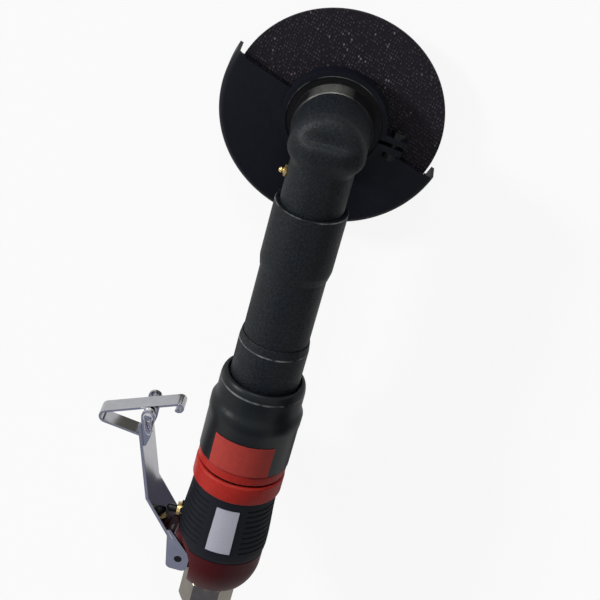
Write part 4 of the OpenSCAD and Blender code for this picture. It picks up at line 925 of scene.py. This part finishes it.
def hang_lights(scene):
    """Key light from the lever's side, a low front light that picks out the head, and an even sky."""
    for name, energy, towards in SUNS:
        sun = bpy.data.lights.new(name, "SUN")
        sun.energy = energy
        sun.angle = SUN_SPREAD
        lamp = bpy.data.objects.new(name, sun)
        lamp.rotation_euler = Matrix(looking(np.array(towards))).to_euler()
        scene.collection.objects.link(lamp)
    world = bpy.data.worlds.new("sky")
    world.use_nodes = True
    tree = world.node_tree
    sky = tree.nodes["Background"]
    sky.inputs["Color"].default_value = (1, 1, 1, 1)
    sky.inputs["Strength"].default_value = SKY_STRENGTH
    surface = seen_white(tree, sky.outputs["Background"], 1.0, 1.0)
    tree.links.new(surface, tree.nodes["World Output"].inputs["Surface"])
    scene.world = world


def hang_card(name, middle, across, along, code):
    """Flat glowing card that only reflections see, which paints a reflection, given by its middle, two half sides
    and a colour.
    """
    u, v = np.meshgrid((-1, 1), (-1, 1), indexing="ij")
    middle, across, along = (np.array(a, float) for a in (middle, across, along))
    card = grid(name, middle + u[..., None] * across + v[..., None] * along)
    material, _, shader, _ = blank(name)
    shader.inputs["Base Color"].default_value = (0, 0, 0, 1)
    shader.inputs["Emission Color"].default_value = linear(code)
    shader.inputs["Emission Strength"].default_value = 1.0
    card.data.materials.append(material)
    card.visible_camera = card.visible_diffuse = False
    card.visible_shadow = card.visible_transmission = False


def looking(back):
    """Rows of a turn whose Z axis points back along a direction."""
    z = back / np.linalg.norm(back)
    x = np.cross([0, 1, 0], z)
    x /= np.linalg.norm(x)
    return np.stack([x, np.cross(z, x), z], axis=1)


def place_camera(scene):
    """Camera at the photograph's place: its axes are the columns right, up and back."""
    lens = bpy.data.cameras.new("camera")
    lens.lens = 99.35
    lens.sensor_width = 36
    lens.clip_start = 0.05
    camera = bpy.data.objects.new("camera", lens)
    right = (0.2345, -0.9655, -0.11321)
    up = (0.8375, 0.25978, -0.48074)
    back = (0.49356, 0.01792, 0.86952)
    turn = Matrix(np.array([right, up, back]).T.tolist()).to_4x4()
    camera.matrix_world = Matrix.Translation((0.57493, 0.00749, 0.67786)) @ turn
    scene.collection.objects.link(camera)
    scene.camera = camera


class GRINDER_PT_panel(bpy.types.Panel):
    """Sidebar panel that lists the grinder's sizes, colours and pieces"""

    bl_idname = "GRINDER_PT_panel"
    bl_label = "Air cut-off grinder"
    bl_space_type = "VIEW_3D"
    bl_region_type = "UI"
    bl_category = "Grinder"

    def draw(self, context):
        for group in (context.scene.grinder_sizes, context.scene.grinder_colours):
            for key in group.__annotations__:
                self.layout.prop(group, key)
        for operator in OPERATORS:
            self.layout.operator(operator.bl_idname)


OPERATORS = (
    GRINDER_OT_finishes,
    GRINDER_OT_head,
    GRINDER_OT_sleeves,
    GRINDER_OT_pressings,
    GRINDER_OT_turnings,
    GRINDER_OT_wires,
    GRINDER_OT_valve_spring,
    GRINDER_OT_stage,
)
CLASSES = (GrinderSizes, GrinderColours, *OPERATORS, GRINDER_PT_panel)


def register():
    """Registers the classes and hangs the settings on the scene."""
    for item in CLASSES:
        bpy.utils.register_class(item)
    bpy.types.Scene.grinder_sizes = bpy.props.PointerProperty(type=GrinderSizes)
    bpy.types.Scene.grinder_colours = bpy.props.PointerProperty(type=GrinderColours)


def unregister():
    """Takes the settings and the classes away again."""
    del bpy.types.Scene.grinder_colours
    del bpy.types.Scene.grinder_sizes
    for item in reversed(CLASSES):
        bpy.utils.unregister_class(item)


def main():
    """Builds every piece and the stage."""
    register()
    bpy.ops.grinder.finishes()
    bpy.ops.grinder.head()
    bpy.ops.grinder.sleeves()
    bpy.ops.grinder.pressings()
    bpy.ops.grinder.turnings()
    bpy.ops.grinder.wires()
    bpy.ops.grinder.valve_spring()
    bpy.ops.grinder.stage()


if __name__ == "__main__":
    main()
